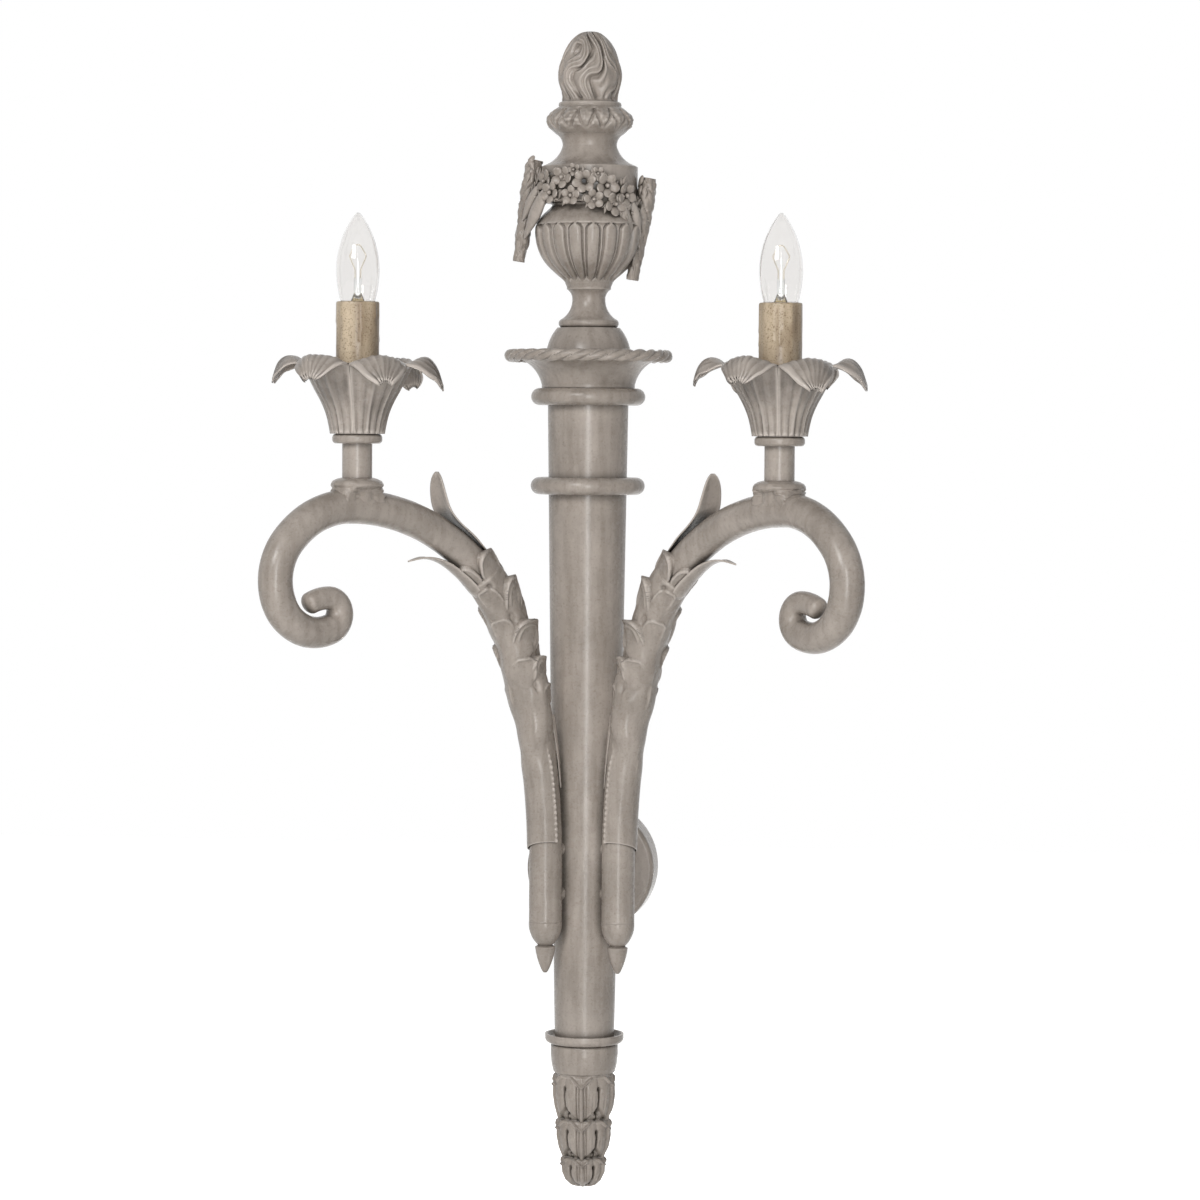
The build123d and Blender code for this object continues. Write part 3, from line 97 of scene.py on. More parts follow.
def noise_node(tree, scale, detail=4.0, stretch=(1, 1, 1)):
    place = node(tree, "ShaderNodeTexCoord")
    turn = node(tree, "ShaderNodeMapping")
    turn.inputs["Scale"].default_value = stretch
    grain = node(tree, "ShaderNodeTexNoise")
    grain.inputs["Scale"].default_value = scale
    grain.inputs["Detail"].default_value = detail
    tree.links.new(place.outputs["Object"], turn.inputs["Vector"])
    tree.links.new(turn.outputs["Vector"], grain.inputs["Vector"])
    return grain.outputs["Fac"]


def ramp(tree, source, stops):
    made = node(tree, "ShaderNodeValToRGB")
    while len(made.color_ramp.elements) < len(stops):
        made.color_ramp.elements.new(0.5)
    for element, (place, tone) in zip(made.color_ramp.elements, stops):
        element.position = place
        element.color = (*tone, 1)
    tree.links.new(source, made.inputs["Fac"])
    return made.outputs["Color"]


def colour_mix(tree, factor, a, b, blend="MIX"):
    made = node(tree, "ShaderNodeMixRGB", blend_type=blend)
    for key, value in (("Fac", factor), ("Color1", a), ("Color2", b)):
        socket = made.inputs[key]
        if isinstance(value, bpy.types.NodeSocket):
            tree.links.new(value, socket)
        elif isinstance(value, tuple):
            socket.default_value = (*value, 1)
        else:
            socket.default_value = value
    return made.outputs["Color"]


def bump(tree, shader, height, strength, distance):
    made = node(tree, "ShaderNodeBump")
    made.inputs["Strength"].default_value = strength
    made.inputs["Distance"].default_value = distance
    tree.links.new(height, made.inputs["Height"])
    tree.links.new(made.outputs["Normal"], shader.inputs["Normal"])


def roughness_between(tree, shader, source, low, high):
    spread = node(tree, "ShaderNodeMapRange")
    spread.inputs["To Min"].default_value = low
    spread.inputs["To Max"].default_value = high
    tree.links.new(source, spread.inputs["Value"])
    tree.links.new(spread.outputs["Result"], shader.inputs["Roughness"])


# Tones of the paint; full and none are the ends of a mask
FULL = (1, 1, 1)
NONE = (0, 0, 0)
DULLED = (0.80, 0.79, 0.78)
# Lighter tone of rubbed edges, which is also a painted highlight
RUBBED_AND_HIGHLIGHT = (0.56, 0.50, 0.45)
# Dark glaze of the hollows, which is also painted shade
GLAZE_AND_SHADE = (0.060, 0.052, 0.042)
TAUPE = (0.425, 0.372, 0.328)
TAUPE_DARK = (0.335, 0.292, 0.254)
CUP_LIGHT = (0.450, 0.395, 0.348)
CUP_DARK = (0.225, 0.196, 0.172)
# Scales of the paint's noises, in waves a metre
CLOUD_SCALE = 26.0
SPECK_SCALE = 520.0
STROKE_SCALE = 150.0
STROKE_STRETCH = (1, 1, 0.12)
PAINT_GRAIN_SCALE = 140.0


def paint(name, light, dark, depth, glaze_and_shade_share, wear_and_highlight_share):
    # Brushed satin paint: cloudy tone, fine specks, edges lightened as rubbed wear and painted highlight,
    # and a darker glaze with painted shade in the hollows
    made, tree, shader = material(name, 0.4)
    cloud = ramp(tree, noise_node(tree, CLOUD_SCALE, 5.0), ((0.32, dark), (0.68, light)))
    speck = ramp(tree, noise_node(tree, SPECK_SCALE, 2.0), ((0.28, DULLED), (0.45, FULL)))
    tone = colour_mix(tree, 0.8, cloud, speck, "MULTIPLY")
    strokes = noise_node(tree, STROKE_SCALE, 4.0, STROKE_STRETCH)
    streak = ramp(tree, strokes, ((0.34, DULLED), (0.58, FULL)))
    tone = colour_mix(tree, 0.9, tone, streak, "MULTIPLY")
    form = node(tree, "ShaderNodeNewGeometry")
    # Convex edges are lightened: rubbed wear and a painted highlight
    edges = ramp(tree, form.outputs["Pointiness"], ((0.51, NONE), (0.56, (wear_and_highlight_share,) * 3)))
    tone = colour_mix(tree, edges, tone, RUBBED_AND_HIGHLIGHT)
    # Occlusion darkens creases, hollows and the parts under petals: a glaze and painted shade
    hide = node(tree, "ShaderNodeAmbientOcclusion", samples=8)
    hide.inputs["Distance"].default_value = depth
    shade = ramp(tree, hide.outputs["AO"], ((0.28, (glaze_and_shade_share,) * 3), (0.86, NONE)))
    tree.links.new(colour_mix(tree, shade, tone, GLAZE_AND_SHADE), shader.inputs["Base Color"])
    grain = noise_node(tree, PAINT_GRAIN_SCALE, 6.0)
    roughness_between(tree, shader, grain, 0.20, 0.35)
    bump(tree, shader, grain, strength=0.16, distance=0.0009)
    shader.inputs["Specular IOR Level"].default_value = 0.32
    return made


def grained(name, light, dark, scale, roughness, metallic=0.0):
    # Plain surface with a fine grain in its tone, gloss and height
    made, tree, shader = material(name, roughness, metallic)
    grain = noise_node(tree, scale)
    tree.links.new(ramp(tree, grain, ((0.3, dark), (0.7, light))), shader.inputs["Base Color"])
    roughness_between(tree, shader, grain, roughness * 0.8, roughness * 1.25)
    bump(tree, shader, grain, strength=0.1, distance=0.0004)
    return made


# Each paint darkens its hollows with glaze and painted shade, and lightens its edges with wear and a
# painted highlight
paint_plain = paint("satin_taupe_paint", TAUPE, TAUPE_DARK, depth=0.010, glaze_and_shade_share=0.75, wear_and_highlight_share=0.2)
paint_leaf = paint("leaf_taupe_paint", TAUPE, TAUPE_DARK, depth=0.009, glaze_and_shade_share=0.95, wear_and_highlight_share=0.8)
paint_cup = paint("cup_taupe_paint", CUP_LIGHT, CUP_DARK, depth=0.020, glaze_and_shade_share=0.95, wear_and_highlight_share=1.0)
steel = grained("zinc_steel", (0.58, 0.58, 0.57), (0.42, 0.42, 0.41), 240.0, 0.35, 1.0)
dark_steel = grained("dark_screw", (0.05, 0.05, 0.05), (0.02, 0.02, 0.02), 400.0, 0.4, 1.0)
brass = grained("lamp_brass", (0.72, 0.58, 0.32), (0.58, 0.45, 0.24), 260.0, 0.25, 1.0)
black = grained("holder_black", (0.035, 0.035, 0.035), (0.02, 0.02, 0.02), 300.0, 0.5)
white = grained("block_white", (0.82, 0.81, 0.77), (0.74, 0.73, 0.69), 200.0, 0.45)
lead = grained("lead_cover", (0.11, 0.11, 0.11), (0.07, 0.07, 0.07), 500.0, 0.5)
tungsten = grained("filament_wire", (0.80, 0.74, 0.62), (0.62, 0.56, 0.46), 900.0, 0.3, 1.0)

SLEEVE_BROWN = (0.25, 0.175, 0.105)
SLEEVE_CREAM = (0.62, 0.505, 0.36)
SLEEVE_SPECK = (0.42, 0.34, 0.26)
GLASS_IOR = 1.46


def sleeve_material():
    # Cream sleeve under a thin brown rub, with dark specks and glossy patches
    made, tree, shader = material("candle_sleeve", 0.35)
    smears = noise_node(tree, 55.0, 6.0, (1, 1, 0.25))
    rub = ramp(tree, smears, ((0.36, SLEEVE_BROWN), (0.64, SLEEVE_CREAM)))
    specks = ramp(tree, noise_node(tree, 760.0, 2.0), ((0.30, SLEEVE_SPECK), (0.46, FULL)))
    tree.links.new(colour_mix(tree, 0.85, rub, specks, "MULTIPLY"), shader.inputs["Base Color"])
    grain = noise_node(tree, 210.0, 5.0)
    roughness_between(tree, shader, grain, 0.18, 0.5)
    bump(tree, shader, grain, strength=0.2, distance=0.0008)
    return made


def glass_material(name, tone, roughness):
    made, tree, shader = material(name, roughness)
    shader.inputs["Base Color"].default_value = (*tone, 1)
    shader.inputs["Transmission Weight"].default_value = 1.0
    shader.inputs["IOR"].default_value = GLASS_IOR
    bump(tree, shader, noise_node(tree, 70.0, 2.0), strength=0.03, distance=0.001)
    return made


sleeve_paint = sleeve_material()
clear = glass_material("clear_glass", (0.90, 0.89, 0.88), 0.02)
mount_glass = glass_material("mount_glass", (0.93, 0.95, 0.95), 0.12)

# Every CAD node gets its material from its slot
SLOT_LOOK = {
    "taupe_paint": paint_plain,
    "cast_leaf_paint": paint_leaf,
    "candle_sleeve": sleeve_paint,
    "lamp_glass": clear,
    "lamp_mount": mount_glass,
    "filament": tungsten,
    "lamp_brass": brass,
    "black_plastic": black,
    "white_plastic": white,
    "lead_cover": lead,
    "plain_steel": steel,
    "dark_screw": dark_steel,
}
SHARP_ANGLE = math.radians(32)
for part in frame["record"]["subparts"]:
    shown = nodes[part["node"]]
    shown.data.materials.clear()
    shown.data.materials.append(SLOT_LOOK[part["material_slot"]])
    shown.data.shade_smooth()
    shown.data.set_sharp_from_angle(angle=SHARP_ANGLE)


# Meshes

# Radius that closes a turned form on its axis
POINT_R = 0.02
# Steps from one given point of a line to the next, before it is divided evenly
STEPS_BETWEEN = 12


def piece(name, points, faces, look, replaced, body="fixture", thickness=0.0):
    # Object made of points in millimetres, which takes the place of the replaced nodes
    data = bpy.data.meshes.new(name)
    data.from_pydata([(x * MM, y * MM, z * MM) for x, y, z in points], [], faces)
    data.validate()
    data.shade_smooth()
    data.materials.append(look)
    made = bpy.data.objects.new(name, data)
    scene.collection.objects.link(made)
    if thickness:
        solid = made.modifiers.new("thickness", "SOLIDIFY")
        solid.thickness = thickness * MM
        solid.offset = 0.0
    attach(made, body)
    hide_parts(*replaced)


def quads(rows, columns, wrap, start=0):
    # Faces of a grid of points, row by row; wrap joins the last column to the first
    faces = []
    for i in range(rows - 1):
        low = start + i * columns
        high = low + columns
        for j in range(columns if wrap else columns - 1):
            k = (j + 1) % columns
            faces.append((low + j, low + k, high + k, high + j))
    return faces


def smoothstep(low, high, value):
    share = min(1.0, max(0.0, (value - low) / (high - low)))
    return share * share * (3 - 2 * share)


def bell(value, width):
    return math.exp(-(value / width) ** 2)


def curve_between(p, q, r, s, t):
    # Smooth way from q to r, with p before and s after them
    bend = 2 * p - 5 * q + 4 * r - s
    twist = 3 * q - p - 3 * r + s
    return 0.5 * (2 * q + (r - p) * t + bend * t ** 2 + twist * t ** 3)


def resample(points, count, rounded):
    # Even points along a line; a rounded line passes smoothly through the given points
    dense = []
    for i in range(len(points) - 1):
        before, a = points[max(i - 1, 0)], points[i]
        b, after = points[i + 1], points[min(i + 2, len(points) - 1)]
        for k in range(STEPS_BETWEEN):
            t = k / STEPS_BETWEEN
            if rounded:
                dense.append(tuple(curve_between(*four, t) for four in zip(before, a, b, after)))
            else:
                dense.append(tuple(q + (r - q) * t for q, r in zip(a, b)))
    dense.append(tuple(points[-1]))
    lengths = [0.0]
    for a, b in zip(dense, dense[1:]):
        lengths.append(lengths[-1] + math.dist(a, b))
    result, k = [], 0
    for i in range(count):
        goal = lengths[-1] * i / (count - 1)
        while k < len(dense) - 2 and lengths[k + 1] < goal:
            k += 1
        step = lengths[k + 1] - lengths[k]
        t = (goal - lengths[k]) / step if step > 0 else 0.0
        result.append(tuple(a + (b - a) * t for a, b in zip(dense[k], dense[k + 1])))
    return result


def rows_from(base, rows):
    # Profile rows given as a radius and a height from base
    return [(r, base + up) for r, up in rows]


def ring_point(centre, angle, out, z):
    # Point at the distance out from an upright axis; angle 0 is the front
    return centre.x + out * math.sin(angle), centre.y - out * math.cos(angle), z


def turned(centre, profile, rows, columns, relief, rounded=True):
    # Points and faces of a turned form; relief(angle, z, r) adds to the radius
    points = []
    for r, z in resample(profile, rows, rounded):
        r = max(r, POINT_R)
        for j in range(columns):
            angle = 2 * math.pi * j / columns
            points.append(ring_point(centre, angle, r + relief(angle, z, r), z))
    return points, quads(rows, columns, True)


def wrap_angle(angle):
    return (angle + math.pi) % (2 * math.pi) - math.pi


COLUMN = middle("column")
UP = Vector((0, 0, 1))
SIDES = (-1, 1)
# Bore for the tie rod through the urn
ROD_BORE_R = 4.2


def side_name(side):
    return "left" if side < 0 else "right"


# Flame: wavy tongues that lean and part
flame_low, flame_high = span_z("flame_finial")
FLAME_TONGUES = 9


def flame_relief(angle, z, r):
    height = (z - flame_low) / (flame_high - flame_low)
    sway = 0.34 * math.sin(6.0 * height + 0.8 * math.sin(angle + 0.6)) + 0.55 * height
    drift = 0.10 * math.sin(3 * angle + 7 * height)
    warp = 0.75 * noise.noise((1.7 * math.sin(angle), 1.7 * math.cos(angle), 2.6 * height + 5.0))
    place = (angle + sway + drift) * FLAME_TONGUES / (2 * math.pi) + warp
    across = abs((place % 1.0) - 0.5) * 2
    tongue = 1.4 * (1 - across ** 2.0) - 2.4 * bell(1 - across, 0.17)
    curl = 0.6 * math.sin(2 * math.pi * (3 * place + 0.5 * math.sin(9 * height + 2 * angle)))
    part = noise.noise((2.2 * math.sin(angle + sway), 2.2 * math.cos(angle + sway), 3.2 * height))
    fade = min(1.0, r / 8.0) * smoothstep(0.0, 0.05, height)
    return (tongue - 1.2 + curl + 0.9 * part - 0.5) * fade


# Rows of radius and share of the height
FLAME_SWELL = [
    (24.3, 0.10),
    (26.2, 0.24),
    (26.9, 0.36),
    (25.9, 0.50),
    (23.6, 0.63),
    (20.2, 0.76),
    (15.9, 0.87),
    (9.4, 0.965),
]
flame_height = flame_high - flame_low
flame_line = [
    (POINT_R, flame_low),
    (23.2, flame_low),
    (23.6, flame_low + 0.5),
    *((r, flame_low + share * flame_height) for r, share in FLAME_SWELL),
    (4.0, flame_high - 0.3),
    (POINT_R, flame_high),
]
points, faces = turned(COLUMN, flame_line, 110, 260, flame_relief)
piece("flame_carving", points, faces, paint_leaf, ["flame_finial"])

# Leaf collar under the flame, with a plain band above it
collar_low, collar_high = span_z("leaf_collar")
COLLAR_MOTIFS = 14


def collar_relief(angle, z, r):
    height = (z - collar_low) / (collar_high - collar_low)
    if r < 5 or height > 0.84:
        return 0.0
    fade = smoothstep(0.10, 0.26, height) * (1 - smoothstep(0.70, 0.80, height))
    place = angle * COLLAR_MOTIFS / (2 * math.pi)
    lean_a = abs(math.sin(math.pi * (place + 0.75 * height)))
    lean_b = abs(math.sin(math.pi * (place - 0.75 * height)))
    veins = 2.2 * max(lean_a, lean_b) ** 0.6 - 2.4 * bell(min(lean_a, lean_b), 0.30)
    rough = 1.1 * noise.noise((angle * 9, z * 0.4, 1.0))
    return (veins - 2.0 + rough) * fade


# Rows of radius and height over the collar's foot
COLLAR_SWELL = [
    (28.2, 0.0),
    (31.6, 3.0),
    (35.4, 6.6),
    (36.9, 10.2),
    (36.4, 13.6),
    (34.0, 17.2),
    (30.4, 20.4),
    (27.2, 22.6),
    (26.2, 23.2),
    (26.6, 24.0),
]
collar_line = [
    (ROD_BORE_R, collar_low),
    *rows_from(collar_low, COLLAR_SWELL),
    (26.4, collar_high - 0.8),
    (25.4, collar_high),
    (ROD_BORE_R, collar_high),
]
points, faces = turned(COLUMN, collar_line, 90, 300, collar_relief, False)
piece("leaf_collar_carving", points, faces, paint_leaf, ["leaf_collar"])

# Gadrooned bowl: round-headed lobes with a narrow fillet between, under a plain ogee
bowl_low, bowl_high = span_z("urn_bowl")
GADROONS = 18
LOBE_HALF = 0.39
LOBE_TOP = bowl_low + 54.5
LOBE_FOOT = bowl_low + 9.0


def bowl_relief(angle, z, r):
    if r < 6 or z > LOBE_TOP + 0.5 or z < LOBE_FOOT - 3:
        return 0.0
    place = (angle * GADROONS / (2 * math.pi)) % 1.0 - 0.5
    pitch = 2 * math.pi * max(r, 1) / GADROONS
    head = LOBE_HALF * pitch
    below = max(0.0, LOBE_TOP - z)
    reach = LOBE_HALF * math.sqrt(max(0.0, 1 - (1 - min(1.0, below / head)) ** 2))
    reach *= smoothstep(LOBE_FOOT - 3, LOBE_FOOT + 2, z)
    if reach <= 0.02:
        return -0.4
    across = abs(place) / reach
    swell = 2.7 * math.sqrt(max(0.0, 1 - across ** 2)) if across < 1 else 0.0
    groove = -1.7 * bell((abs(place) - reach) * pitch, 0.8)
    return (swell - 2.2 + groove) * smoothstep(LOBE_FOOT - 3, LOBE_FOOT + 3, z)


# Rows of radius and height over the bowl's foot
BOWL_SWELL = [
    (17.6, 0.0),
    (18.6, 2.0),
    (20.0, 5.2),
    (22.1, 8.6),
    (25.9, 12.0),
    (29.8, 15.4),
    (33.4, 18.8),
    (36.6, 22.4),
    (39.4, 26.4),
    (42.0, 31.5),
    (44.2, 38.0),
    (45.4, 45.0),
    (45.6, 50.0),
    (45.0, 54.5),
    (42.8, 59.0),
    (39.0, 63.5),
    (34.6, 67.5),
]
bowl_line = [
    (ROD_BORE_R, bowl_low),
    *rows_from(bowl_low, BOWL_SWELL),
    (31.4, bowl_high - 2.2),
    (30.4, bowl_high),
    (ROD_BORE_R, bowl_high),
]
points, faces = turned(COLUMN, bowl_line, 150, 432, bowl_relief)
piece("gadrooned_bowl", points, faces, paint_leaf, ["urn_bowl"])

# Rope edge: three strands laid round the dish
rope_centre = middle("rope_rim")
rope_low, rope_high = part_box("rope_rim")
ROPE_R = (rope_high.z - rope_low.z) / MM / 2
ROPE_RING_R = (rope_high.x - rope_low.x) / MM / 2 - ROPE_R
ROPE_STRANDS = 3
ROPE_LAYS = 29
ROPE_CORE = 0.48
ROPE_ROWS, ROPE_COLUMNS = 464, 30
points = []
for i in range(ROPE_ROWS + 1):
    angle = 2 * math.pi * i / ROPE_ROWS
    for j in range(ROPE_COLUMNS):
        turn = 2 * math.pi * j / ROPE_COLUMNS
        strand = abs(math.cos((ROPE_STRANDS * turn - ROPE_LAYS * angle) / 2))
        out = ROPE_R * (ROPE_CORE + (1 - ROPE_CORE) * strand ** 0.55)
        ring = ROPE_RING_R + out * math.cos(turn)
        points.append(ring_point(COLUMN, angle, ring, rope_centre.z + out * math.sin(turn)))
rope_faces = quads(ROPE_ROWS + 1, ROPE_COLUMNS, True)
piece("rope_twist", points, rope_faces, paint_leaf, ["rope_rim"])

# Leaf pendant: a plain band over three tiers of leaves, with slits and berries between the leaves
pendant_low, pendant_high = span_z("leaf_pendant")
PENDANT_LEAVES = 5
BAND_FOOT = pendant_high - 26.0
TIER_ENDS = (BAND_FOOT, BAND_FOOT - 39.0, BAND_FOOT - 72.0, pendant_low)


def pendant_relief(angle, z, r):
    for top, foot in zip(TIER_ENDS, TIER_ENDS[1:]):
        if foot <= z < top:
            break
    else:
        return 0.0
    tall = top - foot
    down = (top - z) / tall
    step = 2 * math.pi / PENDANT_LEAVES
    # A leaf faces the front: side is 0 on its midrib and 1 on the slit between two leaves
    side = 2 * abs((angle / step + 0.5) % 1.0 - 0.5)
    half = step * r / 2
    off_rib = side * half
    off_slit = (1 - side) * half
    rib = 2.2 * bell(off_rib, 1.3) - 1.8 * bell(off_rib - 3.4, 1.4)
    rib *= smoothstep(0.12, 0.24, down)
    fork = 2.4 * bell(off_rib - 0.62 * half * (1 - down / 0.26), 1.3)
    fork *= 1 - smoothstep(0.22, 0.28, down)
    swell = 1.5 * math.sin(math.pi * min(1.0, side)) ** 0.8
    veins = 0.2 * math.cos(2 * math.pi * (off_rib / 3.4 + 0.6 * down)) * smoothstep(0.3, 0.5, down)
    slit = -3.2 * bell(off_slit, 0.8) * smoothstep(0.24, 0.30, down)
    eye = -3.4 * bell(math.hypot(off_slit, (down - 0.28) * tall), 1.7)
    foot_eye = -3.0 * bell(math.hypot(off_slit, (down - 0.76) * tall), 2.2)
    berry_off = math.hypot(off_slit, (down - 0.90) * tall) / 2.6
    berry = 2.6 * math.sqrt(max(0.0, 1 - berry_off ** 2))
    leaf_end = 0.99 - 0.34 * side ** 1.3
    below = -3.6 * smoothstep(leaf_end, leaf_end + 0.05, down)
    fade = min(1.0, r / 7.0) * smoothstep(0.0, 0.05, down)
    return (rib + fork + swell + veins + slit + eye + foot_eye + berry + below - 1.8) * fade


# Rows of radius and height: from the pendant's top, from the foot of its band, and from its lowest point
BAND_ROWS = [
    (13.2, 0.0),
    (27.6, 0.0),
    (28.7, -2.0),
    (28.9, -9.0),
    (28.0, -18.0),
    (26.4, -24.6),
]
TIER_ROWS = [
    (24.4, 0.4),
    (24.6, -2.0),
    (26.8, -9.0),
    (27.0, -18.0),
    (25.6, -28.0),
    (22.6, -38.0),
    (21.6, -39.6),
    (23.4, -45.0),
    (23.6, -53.0),
    (21.8, -63.0),
    (18.2, -71.4),
    (17.6, -73.0),
    (18.9, -78.0),
    (18.4, -85.0),
]
TIP_ROWS = [
    (15.6, 6.5),
    (10.4, 2.0),
    (4.8, 0.3),
    (POINT_R, 0.0),
]
pendant_line = [
    *rows_from(pendant_high, BAND_ROWS),
    *rows_from(BAND_FOOT, TIER_ROWS),
    *rows_from(pendant_low, TIP_ROWS),
]
points, faces = turned(COLUMN, pendant_line, 190, 300, pendant_relief, False)
piece("pendant_carving", points, faces, paint_leaf, ["leaf_pendant"])


# Flower swag on the drum, tilted as it hangs
SWAG_SEED = 11
swag_rng = random.Random(SWAG_SEED)
SWAG_Z = 586.0
SWAG_TILT = math.radians(9.0)
DRUM_R = 40.8
GARLAND_Z = SWAG_Z - 4.0
GARLAND_HALF = 12.5
GARLAND_DROOP = 8.0
DROOP_BEARING = math.radians(60)
GARLAND_END = 84
LEAF_OUT = DRUM_R + 4.0
FLOWER_OUT = DRUM_R + 3.6
FLOWER_SCALE = 1.12
swag_points, swag_faces = [], []


def swag_tilt(point):
    x, z = point[0] - COLUMN.x, point[2] - SWAG_Z
    return (
        COLUMN.x + x * math.cos(SWAG_TILT) + z * math.sin(SWAG_TILT),
        point[1],
        SWAG_Z + z * math.cos(SWAG_TILT) - x * math.sin(SWAG_TILT),
    )


def add_to_swag(points, faces):
    start = len(swag_points)
    swag_points.extend(swag_tilt(p) for p in points)
    swag_faces.extend(tuple(start + k for k in face) for face in faces)


def blob(centre, along, across, up, rows=7, columns=10, pinch=0.0):
    # Egg with half axes given as vectors; pinch draws one end to a point
    points = []
    for i in range(rows + 1):
        lift = math.pi * i / rows
        for j in range(columns):
            turn = 2 * math.pi * j / columns
            wide = math.sin(lift) * (1 - pinch * max(0.0, math.cos(lift)))
            place = centre + along * math.cos(lift) + across * wide * math.cos(turn)
            points.append(tuple(place + up * wide * math.sin(turn)))
    return points, quads(rows + 1, columns, True)


def drum_frame(angle, z, out):
    outward = Vector((math.sin(angle), -math.cos(angle), 0))
    side = Vector((math.cos(angle), math.sin(angle), 0))
    return Vector((COLUMN.x, COLUMN.y, z)) + outward * out, outward, side


def garland_height(angle):
    # The garland droops towards both ends
    return GARLAND_Z - GARLAND_DROOP * (angle / DROOP_BEARING) ** 2


def garland_base():
    # Lumpy band that the flowers and leaves grow from
    points = []
    rows, columns = 90, 22
    for i in range(rows + 1):
        angle = math.radians(-GARLAND_END + 2 * GARLAND_END * i / rows)
        for j in range(columns):
            turn = math.pi * (j / (columns - 1) - 0.5)
            coarse = 1.5 * noise.noise((angle * 7, turn * 4, 0.3))
            fine = 0.8 * noise.noise((angle * 17, turn * 9, 2.3))
            out = DRUM_R + 0.3 + max(0.0, (2.6 + (coarse + fine)) * math.cos(turn))
            height = garland_height(angle) + GARLAND_HALF * math.sin(turn)
            points.append(tuple(drum_frame(angle, height, out)[0]))
    add_to_swag(points, quads(rows + 1, columns, False))


def flower(bearing, rise, size, petals):
    # Cupped petals round a button
    angle = math.radians(bearing)
    out = FLOWER_OUT + swag_rng.uniform(0, 1.2)
    centre, outward, side = drum_frame(angle, garland_height(angle) + rise, out)
    add_to_swag(*blob(centre + outward * 1.4, outward * size * 0.24, side * size * 0.22, UP * size * 0.22))
    start = swag_rng.uniform(0, 6.28)
    for k in range(petals):
        turn = start + 2 * math.pi * k / petals
        reach = side * math.cos(turn) + UP * math.sin(turn)
        cross = outward.cross(reach)
        length = size * swag_rng.uniform(0.40, 0.50)
        along = reach * length + outward * size * 0.20
        thick = (outward - reach * 0.5) * size * 0.13
        petal_middle = centre + reach * size * 0.60 + outward * size * 0.1
        add_to_swag(*blob(petal_middle, along, cross * size * 0.46, thick))


def leaf(angle, z, size, turn):
    # Leaf of three pointed lobes
    centre, outward, side = drum_frame(angle, z, LEAF_OUT)
    reach = side * math.cos(turn) + UP * math.sin(turn)
    cross = outward.cross(reach)
    for share, spread in ((1.0, 0.0), (0.72, 0.6), (0.72, -0.6)):
        tip = (reach * math.cos(spread) + cross * math.sin(spread)) * share
        edge = outward.cross(tip)
        lobe_middle = centre + tip * size * 0.45
        along = tip * size * 0.6 + outward * 0.5
        add_to_swag(*blob(lobe_middle, along, edge * size * 0.24, outward * 1.7, 8, 10, 0.75))


garland_base()
flower(bearing=0, rise=4.0, size=9.5, petals=6)
# Bearing, rise from the garland's middle, and size
FLOWERS = (
    (-25, 6.0, 8.4),
    (25, 5.0, 8.8),
    (-12, -9.0, 7.2),
    (13, -9.0, 7.4),
    (-37, -6.5, 8.2),
    (38, -7.0, 8.8),
    (-50, 5.0, 8.2),
    (50, 4.0, 8.8),
    (-62, -6.0, 7.6),
    (63, -6.0, 8.4),
    (-76, 3.0, 7.0),
    (76, 2.0, 7.6),
    (-13, 12.5, 5.0),
    (13, 12.5, 5.2),
)
for bearing, rise, size in FLOWERS:
    flower(bearing, rise, size * FLOWER_SCALE, 5)
SWAG_LEAVES = 36
LEAVES_END = 80
for k in range(SWAG_LEAVES):
    bearing = math.radians(-LEAVES_END + 2 * LEAVES_END * (k + 0.5) / SWAG_LEAVES)
    edge = 1 if k % 2 else -1
    height = garland_height(bearing) + edge * swag_rng.uniform(3.0, 10.0)
    leaf(bearing, height, swag_rng.uniform(7.0, 10.0), edge * swag_rng.uniform(0.4, 2.6))


# Tails of the swag, that hang at both sides of the urn
TAIL_X = 49.0
# Rows of height from the swag's middle, half width and half depth
TAIL_STATIONS = [
    (13.0, 6.0, 7.2),
    (6.0, 7.4, 9.6),
    (-6.0, 8.2, 11.6),
    (-20.0, 7.8, 11.0),
    (-36.0, 7.0, 9.5),
    (-56.0, 6.0, 7.4),
    (-74.0, 5.0, 5.6),
]
# Folds that run from an end of the garland into its tail: x and height of both ends, and half width
TAIL_FOLDS = [
    (33, -13, 46, -52, 6.0),
    (40, -10, 50, -38, 5.0),
    (29, -9, 40, -30, 4.6),
]
FOLD_R = 45.5
TAIL_LEAVES = 12
TAIL_LEAF_TOP = 11
TAIL_LEAF_STEP = 4.0
# Half width and half depth of the line that the leaves stand on, and the drop at which it would close
TAIL_LEAF_X = 7.2
TAIL_LEAF_Y = 10.5
TAIL_LEAF_CLOSE = 110


def bark(turn, drop, side):
    coarse = noise.noise((turn * 1.9 + side, drop * 0.10, 5.0))
    fine = noise.noise((math.cos(turn) * 3.1, math.sin(turn) * 3.1, drop * 0.22 + side * 7))
    furrow = bell((drop * 0.11 + 1.3 * math.sin(turn + side)) % 2.0, 0.24)
    return 0.16 * coarse + 0.14 * fine - 0.17 * furrow


